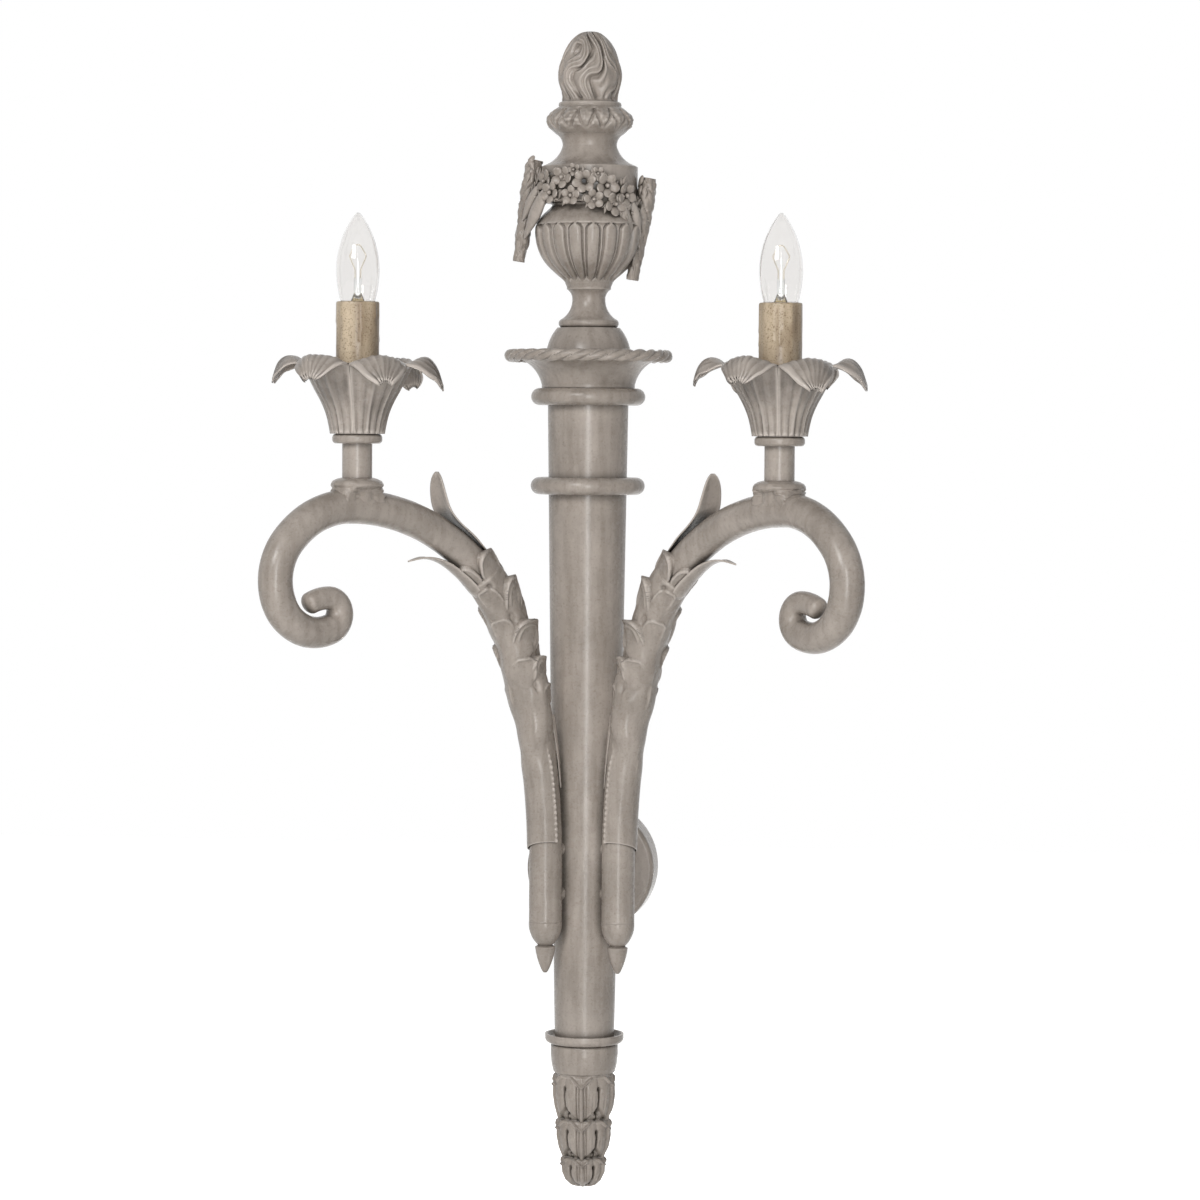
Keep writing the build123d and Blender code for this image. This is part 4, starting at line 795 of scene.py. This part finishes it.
def tail(side):
    # Tapering bundle like bark, with folds from the garland and small leaves on its front
    rows, columns = 84, 36
    line = resample(TAIL_STATIONS, rows - 2, True)
    line = [(line[0][0], 0.2, 0.2), *line, (line[-1][0], 0.2, 0.2)]
    points = []
    for drop, half_x, half_y in line:
        for j in range(columns):
            turn = 2 * math.pi * j / columns
            grow = 0.96 + bark(turn, drop, side) if half_x > 1 else 1
            points.append((
                side * TAIL_X + half_x * grow * math.cos(turn),
                COLUMN.y + half_y * grow * math.sin(turn),
                SWAG_Z + drop,
            ))
    add_to_swag(points, quads(rows, columns, True))
    for x_top, z_top, x_foot, z_foot, half in TAIL_FOLDS:
        reach = math.sqrt(max(0.0, FOLD_R ** 2 - x_top ** 2))
        top = Vector((side * x_top, COLUMN.y - reach, SWAG_Z + z_top))
        foot = Vector((side * x_foot, COLUMN.y - 9.0, SWAG_Z + z_foot))
        run = (foot - top) * 0.56
        out = Vector((side * 0.5, -1, 0)).normalized()
        across = run.cross(out).normalized()
        add_to_swag(*blob((top + foot) / 2, run, across * half, out * 4.0, 14, 14, 0.55))
    for k in range(TAIL_LEAVES):
        turn = swag_rng.uniform(-2.6, -0.5)
        drop = TAIL_LEAF_TOP - TAIL_LEAF_STEP * k + swag_rng.uniform(-2, 2)
        share = 1.0 - max(0.0, -drop) / TAIL_LEAF_CLOSE
        x = side * TAIL_X + TAIL_LEAF_X * share * math.cos(turn)
        y = COLUMN.y + TAIL_LEAF_Y * share * math.sin(turn)
        outward = Vector((math.cos(turn), math.sin(turn), 0))
        down = Vector((0, 0, -1))
        sway = swag_rng.uniform(-0.7, 0.7)
        reach = down * math.cos(sway) + outward.cross(down) * math.sin(sway)
        centre = Vector((x, y, SWAG_Z + drop))
        along = reach * 5.0 + outward * 0.8
        add_to_swag(*blob(centre, along, outward.cross(reach) * 2.6, outward * 1.8, 8, 10, 0.7))


for side in SIDES:
    tail(side)
piece("swag_carving", swag_points, swag_faces, paint_leaf, ["flower_swag"])


# Arms: the same centreline as the tube, by its length from the point where it starts to bend
ARM_R = 14.0
ARM_FOOT_R = 43.5
ARM_BEND_Z = 17.0
ARM_PLANE = math.radians(45)
# Bends up to the crest: heading at the end in degrees from straight up, and radius
ARM_BENDS = [(23, 500), (47.5, 152), (90, 192)]
# Bends of the scroll: heading at the end, and radius in tube radii
SCROLL_TURNS = [(140, 5.71), (200, 3.36), (290, 2.86), (360, 1.0), (450, 0.86), (475, 2.86)]
ARM_BENDS += [(heading, turns * ARM_R) for heading, turns in SCROLL_TURNS]
SCROLL_THIN_FROM = math.radians(SCROLL_TURNS[1][0])
SCROLL_END = math.radians(SCROLL_TURNS[-1][0])
SCROLL_END_R = 9.0
SCROLL_NOSE = 6.0
SKIN_DENT = 0.3
# The dents fade over this length before the nose
DENT_FADE = 20


def arm_at(length):
    # Distance from the column axis, height and heading from straight up
    r, z, start = ARM_FOOT_R, ARM_BEND_Z, 0.0
    if length <= 0:
        return r, z + length, 0.0
    for end, radius in ARM_BENDS:
        first, last = math.radians(start), math.radians(end)
        run = radius * (last - first)
        now = first + min(length, run) / radius
        r += radius * (math.cos(first) - math.cos(now))
        z += radius * (math.sin(now) - math.sin(first))
        if length <= run:
            return r, z, now
        length -= run
        start = end
    return r, z, now


def arm_axes(side):
    # Level directions away from the column in the arm's plane, and square to that plane at the front
    away = Vector((side * math.cos(ARM_PLANE), -math.sin(ARM_PLANE), 0))
    front = Vector((-side * math.sin(ARM_PLANE), -math.cos(ARM_PLANE), 0))
    return away, front


def arm_skin(side, length, turn, out):
    # Point on a round of radius out about the arm; turn 0 faces away from the column, 90 degrees the front
    r, z, heading = arm_at(length)
    away, front = arm_axes(side)
    outer = away * math.cos(heading) - UP * math.sin(heading)
    base = Vector((COLUMN.x, COLUMN.y, z)) + away * r
    return tuple(base + outer * (out * math.cos(turn)) + front * (out * math.sin(turn)))


def arm_tube(side):
    # Tube with a scroll that thins as it rolls up and ends in a round nose
    name = side_name(side)
    foot = span_z(f"{name}_arm_tube")[0] - ARM_BEND_Z
    starts = [0] + [end for end, _ in ARM_BENDS]
    top = sum(radius * math.radians(end - start) for start, (end, radius) in zip(starts, ARM_BENDS))
    rows, columns, nose_rows = 300, 56, 10
    points = []
    for i in range(rows):
        length = foot + (top - foot) * i / (rows - 1)
        heading = arm_at(length)[2]
        thinned = max(0.0, heading - SCROLL_THIN_FROM) / (SCROLL_END - SCROLL_THIN_FROM)
        for j in range(columns):
            turn = 2 * math.pi * j / columns
            dent = abs(noise.noise((math.cos(turn) * 1.2, math.sin(turn) * 1.2, length * 0.04)))
            sunk = SKIN_DENT * dent * smoothstep(top, top - DENT_FADE, length)
            out = ARM_R + (SCROLL_END_R - ARM_R) * thinned - sunk
            points.append(arm_skin(side, length, turn, out))
    away = arm_axes(side)[0]
    ahead = away * math.sin(SCROLL_END) + UP * math.cos(SCROLL_END)
    for k in range(1, nose_rows):
        lift = math.pi / 2 * k / nose_rows
        for j in range(columns):
            ring = arm_skin(side, top, 2 * math.pi * j / columns, SCROLL_END_R * math.cos(lift))
            points.append(tuple(Vector(ring) + ahead * SCROLL_NOSE * math.sin(lift)))
    faces = quads(rows + nose_rows - 1, columns, True)
    last = len(points) - columns
    faces.append(tuple(range(columns)))
    faces.append(tuple(range(last, last + columns)))
    piece(f"{name}_arm_skin", points, faces, paint_plain, [f"{name}_arm_tube"])


for side in SIDES:
    arm_tube(side)

# Leaf sheaths round the arms; bearings are in degrees, 0 away from the column and 90 at the front
SHEATH_FOOT = 9.0
SHEATH_TOP = 284.0
SHEATH_SLANT = 6.0
SHELL_RISE = 1.3
SHEATH_THICK = 1.2
# Stretches along the arm over which a feature of the sheath comes or goes
SHELL_ENDS = (80, 104)
FOLDS_START = (66, 100)
FOLDS_END = (170, 220)
LEAF_STARTS = (90, 130)
CRUMPLE_STARTS = (104, 140)
BARE_BEARING = math.radians(172)
SEAM_BEARING = math.radians(88)
# Flaps of a sheath: middle along the arm, bearing, half length, half width, lean, lift at the tip, rim
FLAPS = [
    (267, 8, 14, 13.0, -5, 1.8, 1.0),
    (263, 104, 13, 12.0, 25, 3.6, 1.3),
    (228, 108, 17, 10.5, 22, 6.6, 1.6),
    (192, 102, 14, 15.0, 30, 7.6, 1.8),
    (164, 58, 14, 11.0, 15, 3.2, 1.4),
    (162, 120, 10, 11.0, 32, 5.6, 1.6),
    (138, 126, 10, 9.0, 30, 3.6, 1.3),
    (236, 42, 16, 9.0, -8, 2.0, 0.9),
    (204, 34, 14, 10.0, -6, 2.2, 0.9),
    (250, -66, 16, 11.0, 0, 2.0, 0.9),
    (212, -66, 16, 11.0, 0, 3.0, 1.0),
    (174, -66, 16, 11.0, 0, 3.0, 1.0),
    (138, -66, 14, 10.0, 0, 2.2, 0.9),
    (250, 196, 16, 12.0, 0, 2.2, 1.0),
    (210, 194, 16, 12.0, 0, 4.0, 1.2),
    (172, 194, 16, 12.0, 0, 4.0, 1.2),
    (138, 194, 14, 11.0, 0, 2.6, 1.0),
]
# Drilled hollows between the flaps: place along the arm, bearing, half length, half width
HOLLOWS = [
    (250, 58, 3.2, 2.6),
    (213, 74, 6.0, 3.0),
    (174, 116, 4.0, 7.0),
    (150, 84, 6.0, 2.4),
    (124, 132, 6.0, 3.0),
]
# Thin leaf edges that stand off the outer side: start and end along the arm, bearing, height
SLIVERS = [(186, 222, -52, 5.0), (152, 172, -50, 3.6)]
# Free edge of the leaf beside the column: start and end along the arm, bearing
FREE_EDGE = (58, 120, 142)
# Degrees between the columns of a thin edge
EDGE_STEP = 3
BROAD_RIM = 1.6
HOLLOW_DEPTH = 4.0
LEAF_TOP = 256.0
LEAF_RISE = 2.4
# Free tips: rows of distance from the column axis, height, half width and dish
STANDING_TIP = [
    (106, 271, 10.0, -5.0),
    (126, 290, 11.5, -4.0),
    (144, 303, 12.0, -3.0),
    (154, 313, 12.0, -2.0),
    (158.5, 325, 10.5, -1.2),
    (160.5, 335, 8.0, -0.6),
    (161, 341, 4.6, -0.3),
    (161, 343.5, 1.6, 0.0),
]
UNDER_TIP = [
    (118, 240, 9.0, 4.0),
    (136, 256, 8.6, 3.0),
    (155, 268, 7.2, 2.0),
    (173, 272.5, 4.6, 1.0),
    (190, 270, 0.7, 0.0),
]


def flap_rise(flap, length, turn):
    # Blunt flap that lifts towards its tip, with a rolled rim and a shallow middle
    middle_length, bearing, half_long, half_wide, lean, lift, rim = flap
    along = length - middle_length
    if abs(along) > half_long + half_wide:
        return 0.0
    across = wrap_angle(turn - math.radians(bearing)) * (ARM_R + LEAF_RISE)
    cos_lean, sin_lean = math.cos(math.radians(lean)), math.sin(math.radians(lean))
    u = (along * cos_lean + across * sin_lean) / half_long
    v = (across * cos_lean - along * sin_lean) / half_wide
    edge = (abs(u) ** 3 + abs(v) ** 3) ** (1 / 3)
    if edge >= 1:
        return 0.0
    inside = (1 - edge) * min(half_long, half_wide)
    up = (u + 1) / 2
    grown = smoothstep(0.0, 0.5, up)
    rise = 0.8 * grown + lift * up ** 1.5
    inner = 0.6 * bell(inside - 5.0, 1.1) if rim >= BROAD_RIM else 0.0
    roll = rim * (bell(inside - 1.1, 1.0) + inner) * grown
    dish = -0.8 * rim * (1 - edge ** 2) * up
    return (rise + roll + dish) * smoothstep(0.0, 0.9, inside)


def sheath_radius(length, turn):
    # The sleeve is a half shell low down and closes round the arm where its leaf begins
    low_part = 1 - smoothstep(*SHELL_ENDS, length)
    bare = low_part * (1 - smoothstep(1.40, 1.46, abs(wrap_angle(turn - BARE_BEARING))))
    bead = 1.2 + 0.5 * math.sin(1.3 * length)
    seam = bead * low_part * bell(wrap_angle(turn - SEAM_BEARING), 0.07)
    window = smoothstep(*FOLDS_START, length) * (1 - smoothstep(*FOLDS_END, length))
    wave = math.sin(0.085 * length - 1.9 * turn) + 0.5 * math.sin(0.19 * length - 1.2 * turn + 1.0)
    folds = 1.7 * window * wave * (0.6 + 0.4 * math.sin(turn + 0.6))
    dents = noise.noise((2.2 * math.cos(turn), 2.2 * math.sin(turn), length * 0.06))
    crumple = smoothstep(*CRUMPLE_STARTS, length) * dents
    leafy = smoothstep(*LEAF_STARTS, length)
    base = SHELL_RISE + (LEAF_RISE - SHELL_RISE) * leafy + seam + folds + 0.9 * crumple - 2.4 * bare
    # Past its top the sleeve sinks under the arm, where only the flaps go on
    past = smoothstep(LEAF_TOP, LEAF_TOP + 3, length)
    base = base * (1 - past) - past
    best = max(flap_rise(flap, length, turn) for flap in FLAPS)
    skin = max(base, LEAF_RISE - 1.6 + best) if best > 0 else base
    for place, bearing, half_long, half_wide in HOLLOWS:
        off_wide = wrap_angle(turn - math.radians(bearing)) * ARM_R / half_wide
        drilled = HOLLOW_DEPTH * bell(math.hypot((length - place) / half_long, off_wide), 0.8)
        if drilled > 0.05:
            skin = max(skin - drilled, min(skin, 0.2))
    return ARM_R + skin


def tip_points(side, stations, rows, columns):
    # Free leaf tip in the arm's plane, dished across its width
    away, front = arm_axes(side)
    line = resample(stations, rows, True)
    points = []
    for i, (r, z, half, dish) in enumerate(line):
        r1, z1 = line[max(i - 1, 0)][:2]
        r2, z2 = line[min(i + 1, rows - 1)][:2]
        size = math.hypot(r2 - r1, z2 - z1)
        normal = away * (-(z2 - z1) / size) + UP * ((r2 - r1) / size)
        centre = Vector((COLUMN.x, COLUMN.y, z)) + away * r
        for j in range(columns):
            across = 2 * j / (columns - 1) - 1
            points.append(tuple(centre + front * half * across + normal * dish * (across ** 2 - 0.35)))
    return points


def sheath(side):
    name = side_name(side)
    skin, faces = [], []

    def add(points, rows, columns, wrap=False):
        faces.extend(quads(rows, columns, wrap, len(skin)))
        skin.extend(points)

    # Sleeve with a slanted foot
    rows, columns = 300, 140
    points = []
    for i in range(rows):
        for j in range(columns):
            turn = 2 * math.pi * j / columns
            start = SHEATH_FOOT + SHEATH_SLANT * math.cos(turn - 1.0)
            length = start + (SHEATH_TOP - start) * i / (rows - 1)
            points.append(arm_skin(side, length, turn, sheath_radius(length, turn)))
    add(points, rows, columns, True)
    rows, columns = 16, 5
    for first, last, bearing, height in SLIVERS:
        points = []
        for i in range(rows):
            length = first + (last - first) * i / (rows - 1)
            stand = height * math.sin(math.pi * i / (rows - 1)) ** 0.5
            for j in range(columns):
                out = ARM_R + 1.0 + stand * j / (columns - 1)
                points.append(arm_skin(side, length, math.radians(bearing - EDGE_STEP * j), out))
        add(points, rows, columns)
    # Free edge that runs down beside the column
    rows, columns = 24, 4
    first, last, bearing = FREE_EDGE
    points = []
    for i in range(rows):
        length = first + (last - first) * i / (rows - 1)
        for j in range(columns):
            out = ARM_R + 0.6 + j * (0.3 + 0.9 * i / (rows - 1))
            points.append(arm_skin(side, length, math.radians(bearing + EDGE_STEP * j), out))
    add(points, rows, columns)
    for stations, rows, columns in ((STANDING_TIP, 26, 13), (UNDER_TIP, 22, 11)):
        add(tip_points(side, stations, rows, columns), rows, columns)
    made_name, replaced = f"{name}_sheath_leaves", [f"{name}_leaf_sheath"]
    piece(made_name, skin, faces, paint_leaf, replaced, thickness=SHEATH_THICK)


for side in SIDES:
    sheath(side)


# Base collars: a sloping disc on a neck that runs into the arm, with rough weld along the arm's line
STUD_BORE_R = 5.4
# Rows of radius and drop from the top
BASE_LINE = [
    (STUD_BORE_R, 0.0),
    (12.2, 0.0),
    (16.4, 1.0),
    (19.8, 2.8),
    (21.2, 4.8),
    (21.2, 6.4),
    (20.0, 7.8),
    (17.0, 8.6),
    (14.6, 9.6),
    (13.8, 11.5),
    (13.6, 20.0),
    (STUD_BORE_R, 20.0),
]
WELD_R = 20.6
WELD_ROUGH = 1.6
NECK_HALF = 13.2


def base_collar(side):
    name = side_name(side)
    centre = middle(f"{name}_base_collar")
    high = span_z(f"{name}_base_collar")[1]

    def weld(angle, z, r):
        drop = high - z
        off = angle - side * ARM_PLANE
        lumps = (math.sin(angle) * 4.0, math.cos(angle) * 4.0, z * 0.35 + side * 2.0)
        rough = noise.noise(lumps)
        fill = smoothstep(0.40, 0.66, abs(math.cos(off)) + 0.12 * rough)
        fill *= smoothstep(5.0, 7.5, drop) * smoothstep(11.0, 13.4, r)
        goal = WELD_R + 0.25 * max(0.0, drop - 8.0) + WELD_ROUGH * rough
        beside = NECK_HALF / max(0.2, abs(math.sin(off))) + 2.0 * max(0.0, 12.0 - drop)
        uneven = 0.5 * rough * smoothstep(14.0, 18.0, r)
        return max(0.0, min(goal, beside) - r) * fill + uneven

    line = [(r, high - drop) for r, drop in BASE_LINE]
    points, faces = turned(centre, line, 80, 140, weld, False)
    piece(f"{name}_collar_disc", points, faces, paint_plain, [f"{name}_base_collar"])


for side in SIDES:
    base_collar(side)


# Leaf cups: six petals that join in a fluted bell and droop at the rim
CUP_SEED = 31
PETALS = 6
PETAL_HALF = 25.0
PETAL_ROUND_FROM = 47.0
PETAL_ROUND = 22.6
CUP_LIMIT_R = 69.4
CUP_FOOT_R = 20.4
CUP_BORE_R = 5.2
CUP_THICK = 1.3
CUP_FLOOR = 0.7
PETAL_START = 0.2
# Rows of radius and height over the cup's foot, from the foot to the tip of a petal
CUP_LINE = [
    (CUP_FOOT_R, 0.0),
    (21.6, 7.0),
    (24.0, 16.5),
    (28.0, 26.0),
    (33.5, 36.0),
    (40.0, 49.0),
    (45.0, 56.5),
    (51.5, 61.6),
    (58.5, 60.6),
    (65.0, 53.5),
    (69.2, 41.0),
]


def leaf_cup(side):
    name = side_name(side)
    centre = middle(f"{name}_candle_sleeve")
    low = span_z(f"{name}_leaf_cup")[0]
    cup_rng = random.Random(CUP_SEED + side)
    skin, faces = [], []
    rows, columns = 46, 25
    line = resample(CUP_LINE, rows, True)
    for petal in range(PETALS):
        bearing = 2 * math.pi * (petal + 0.5) / PETALS
        droop = cup_rng.uniform(-3.0, 2.5)
        sway = cup_rng.uniform(-0.10, 0.10)
        start = len(skin)
        for i, (r, z) in enumerate(line):
            share = i / (rows - 1)
            free = smoothstep(0.56, 1.0, share)
            pitch_half = math.pi / PETALS
            beyond = max(0.0, r - PETAL_ROUND_FROM) / PETAL_ROUND
            petal_half = PETAL_HALF * math.sqrt(max(0.012, 1 - beyond ** 2.2)) / r
            half = pitch_half * 1.02 if share < 0.52 else min(pitch_half, petal_half)
            for j in range(columns):
                across = 2 * j / (columns - 1) - 1
                rib = 1.0 * bell(across, 0.05) * (1 - free)
                ridge = abs(math.cos(2 * math.pi * across)) ** 0.6
                flute = (1.3 * ridge - 0.9) * (1 - smoothstep(0.5, 0.8, share))
                crimp = 1.3 * math.cos(math.pi * 8 * across + 3 * share + petal) * free
                arch = smoothstep(0.55, 0.78, share) * (1 - 0.75 * smoothstep(0.80, 1.0, share))
                edge_drop = -8.5 * across ** 2 * arch
                out = min(r + rib + flute + 0.15 * (petal % 2), CUP_LIMIT_R)
                angle = bearing + half * across + sway * free
                wrinkle = 0.6 * share + 2.2 * free
                lift = z + edge_drop + droop * free + crimp
                lift += wrinkle * noise.noise((angle * 5, share * 6, side * 3.0))
                skin.append(ring_point(centre, angle, out, low + PETAL_START + max(lift, 0.0)))
        faces.extend(quads(rows, columns, False, start))
    # Floor under the sleeve
    start, columns = len(skin), 48
    for r in (CUP_BORE_R, CUP_FOOT_R):
        for j in range(columns):
            skin.append(ring_point(centre, 2 * math.pi * j / columns, r, low + CUP_FLOOR))
    faces.extend(quads(2, columns, True, start))
    made_name, replaced = f"{name}_cup_leaves", [f"{name}_leaf_cup"]
    piece(made_name, skin, faces, paint_cup, replaced, thickness=CUP_THICK)


for side in SIDES:
    leaf_cup(side)


# Candle sleeves with hardened drips
DRIP_SEED = 5
SLEEVE_R = 17.45
SLEEVE_BORE_R = 16.0
# The bore is drawn down to this height over the sleeve's foot
SLEEVE_BORE_FOOT = 62
DRIPS = 13


def sleeve(side):
    name = side_name(side)
    centre = middle(f"{name}_candle_sleeve")
    low, high = span_z(f"{name}_candle_sleeve")
    drip_rng = random.Random(DRIP_SEED + side)
    # Bearing, length, half width and rise of each drip
    drips = [
        (
            drip_rng.uniform(0, 2 * math.pi),
            drip_rng.uniform(8, 46),
            drip_rng.uniform(1.2, 2.2),
            drip_rng.uniform(0.35, 0.9),
        )
        for _ in range(DRIPS)
    ]

    def relief(angle, z, r):
        if r < 17:
            return 0.0
        out = 0.15 * noise.noise((angle * 4, z * 0.08, side))
        for bearing, run, half, rise in drips:
            sideways = wrap_angle(angle - bearing) * r / half
            if abs(sideways) < 3:
                foot = high - run
                ends = smoothstep(foot - 2, foot, z) * (1 - 0.4 * smoothstep(foot, foot + 7, z))
                out += rise * bell(sideways, 1.0) * ends
        return out * (1 - smoothstep(high - 1.0, high, z))

    line = [
        (SLEEVE_BORE_R, low + SLEEVE_BORE_FOOT),
        (SLEEVE_BORE_R, high),
        (16.8, high),
        (17.4, high - 0.7),
        (SLEEVE_R, high - 30),
        (SLEEVE_R, low),
    ]
    points, faces = turned(centre, line, 120, 160, relief, False)
    piece(f"{name}_sleeve_drips", points, faces, sleeve_paint, [f"{name}_candle_sleeve"])


for side in SIDES:
    sleeve(side)


# World, floor and lights, in metres

def seen_rays(tree):
    # 1 for rays from the camera and for those that mirror or pass through the object
    path = node(tree, "ShaderNodeLightPath")
    result = path.outputs["Is Camera Ray"]
    for kind in ("Is Transmission Ray", "Is Glossy Ray"):
        wider = node(tree, "ShaderNodeMath", operation="MAXIMUM")
        tree.links.new(result, wider.inputs[0])
        tree.links.new(path.outputs[kind], wider.inputs[1])
        result = wider.outputs[0]
    return result


WORLD_LIGHT = 0.08
world = bpy.data.worlds.new("studio")
scene.world = world
world.use_nodes = True
sky = world.node_tree
strength = node(sky, "ShaderNodeMapRange")
strength.inputs["To Min"].default_value = WORLD_LIGHT
strength.inputs["To Max"].default_value = 1.0
sky.links.new(seen_rays(sky), strength.inputs["Value"])
background = sky.nodes["Background"]
background.inputs["Color"].default_value = (1, 1, 1, 1)
sky.links.new(strength.outputs["Result"], background.inputs["Strength"])

FLOOR_GLOW = 0.92
FLOOR_DROP = 0.35
FLOOR_HALF = 6.0
FLOOR_CORNERS = ((-1, -1), (1, -1), (1, 1), (-1, 1))
floor_look, floor_tree, floor_shader = material("pale_floor", 0.9)
floor_shader.inputs["Base Color"].default_value = (0.86, 0.86, 0.85, 1)
floor_shader.inputs["Emission Color"].default_value = (1, 1, 1, 1)
floor_glow = node(floor_tree, "ShaderNodeMath", operation="MULTIPLY")
floor_glow.inputs[1].default_value = FLOOR_GLOW
floor_tree.links.new(seen_rays(floor_tree), floor_glow.inputs[0])
floor_tree.links.new(floor_glow.outputs[0], floor_shader.inputs["Emission Strength"])
floor_data = bpy.data.meshes.new("floor")
floor_z = cad_low.z - FLOOR_DROP
floor_points = [(x * FLOOR_HALF, y * FLOOR_HALF, floor_z) for x, y in FLOOR_CORNERS]
floor_data.from_pydata(floor_points, [], [(0, 1, 2, 3)])
floor_data.materials.append(floor_look)
floor = bpy.data.objects.new("floor", floor_data)
scene.collection.objects.link(floor)

TARGET_Z = 0.234
TARGET = Vector((0.0, COLUMN.y * MM, TARGET_Z))


def area_light(name, place, width, height, power):
    data = bpy.data.lights.new(name, "AREA")
    data.shape = "RECTANGLE"
    data.size = width
    data.size_y = height
    data.energy = power
    made = bpy.data.objects.new(name, data)
    made.location = place
    made.rotation_euler = (TARGET - Vector(place)).to_track_quat("-Z", "Y").to_euler()
    scene.collection.objects.link(made)
    return made


# A tall narrow lamp by the camera, a soft one from the upper left, and one that fills the back
area_light("key", (0.34, -3.2, 0.25), width=0.09, height=2.2, power=46)
area_light("left_soft", (-0.9, -2.8, 1.7), width=0.9, height=0.9, power=40)
back_lamp = area_light("back_soft", (0.2, 3.0, 0.9), width=1.2, height=1.2, power=52)
# The back lamp lights the paint, but it isn't seen, mirrored or shown through the glass
back_lamp.visible_camera = False
back_lamp.visible_transmission = False
back_lamp.visible_glossy = False

# Camera at the photo's angle
CAMERA_DISTANCE = 3.4
CAMERA_TURN = math.radians(5.56)
CAMERA_RISE = math.radians(2.5)
CAMERA_ROLL = math.radians(0.35)
CAMERA_SENSOR = 36.0
CAMERA_LENS = 120.0
# The object sits this many of the photo's pixels to one side
PHOTO_OFFSET = 13
PHOTO_WIDTH = 1200
camera_data = bpy.data.cameras.new("camera")
camera_data.sensor_width = CAMERA_SENSOR
camera_data.lens = CAMERA_LENS
camera_data.shift_x = PHOTO_OFFSET / PHOTO_WIDTH
camera = bpy.data.objects.new("camera", camera_data)
back = Vector((
    math.sin(CAMERA_TURN) * math.cos(CAMERA_RISE),
    -math.cos(CAMERA_TURN) * math.cos(CAMERA_RISE),
    math.sin(CAMERA_RISE),
))
look = (-back).to_track_quat("-Z", "Y").to_matrix().to_4x4()
roll = Matrix.Rotation(CAMERA_ROLL, 4, "Z")
camera.matrix_world = Matrix.Translation(TARGET + back * CAMERA_DISTANCE) @ look @ roll
scene.collection.objects.link(camera)
scene.camera = camera
scene.view_settings.view_transform = "Standard"

bpy.context.view_layer.update()
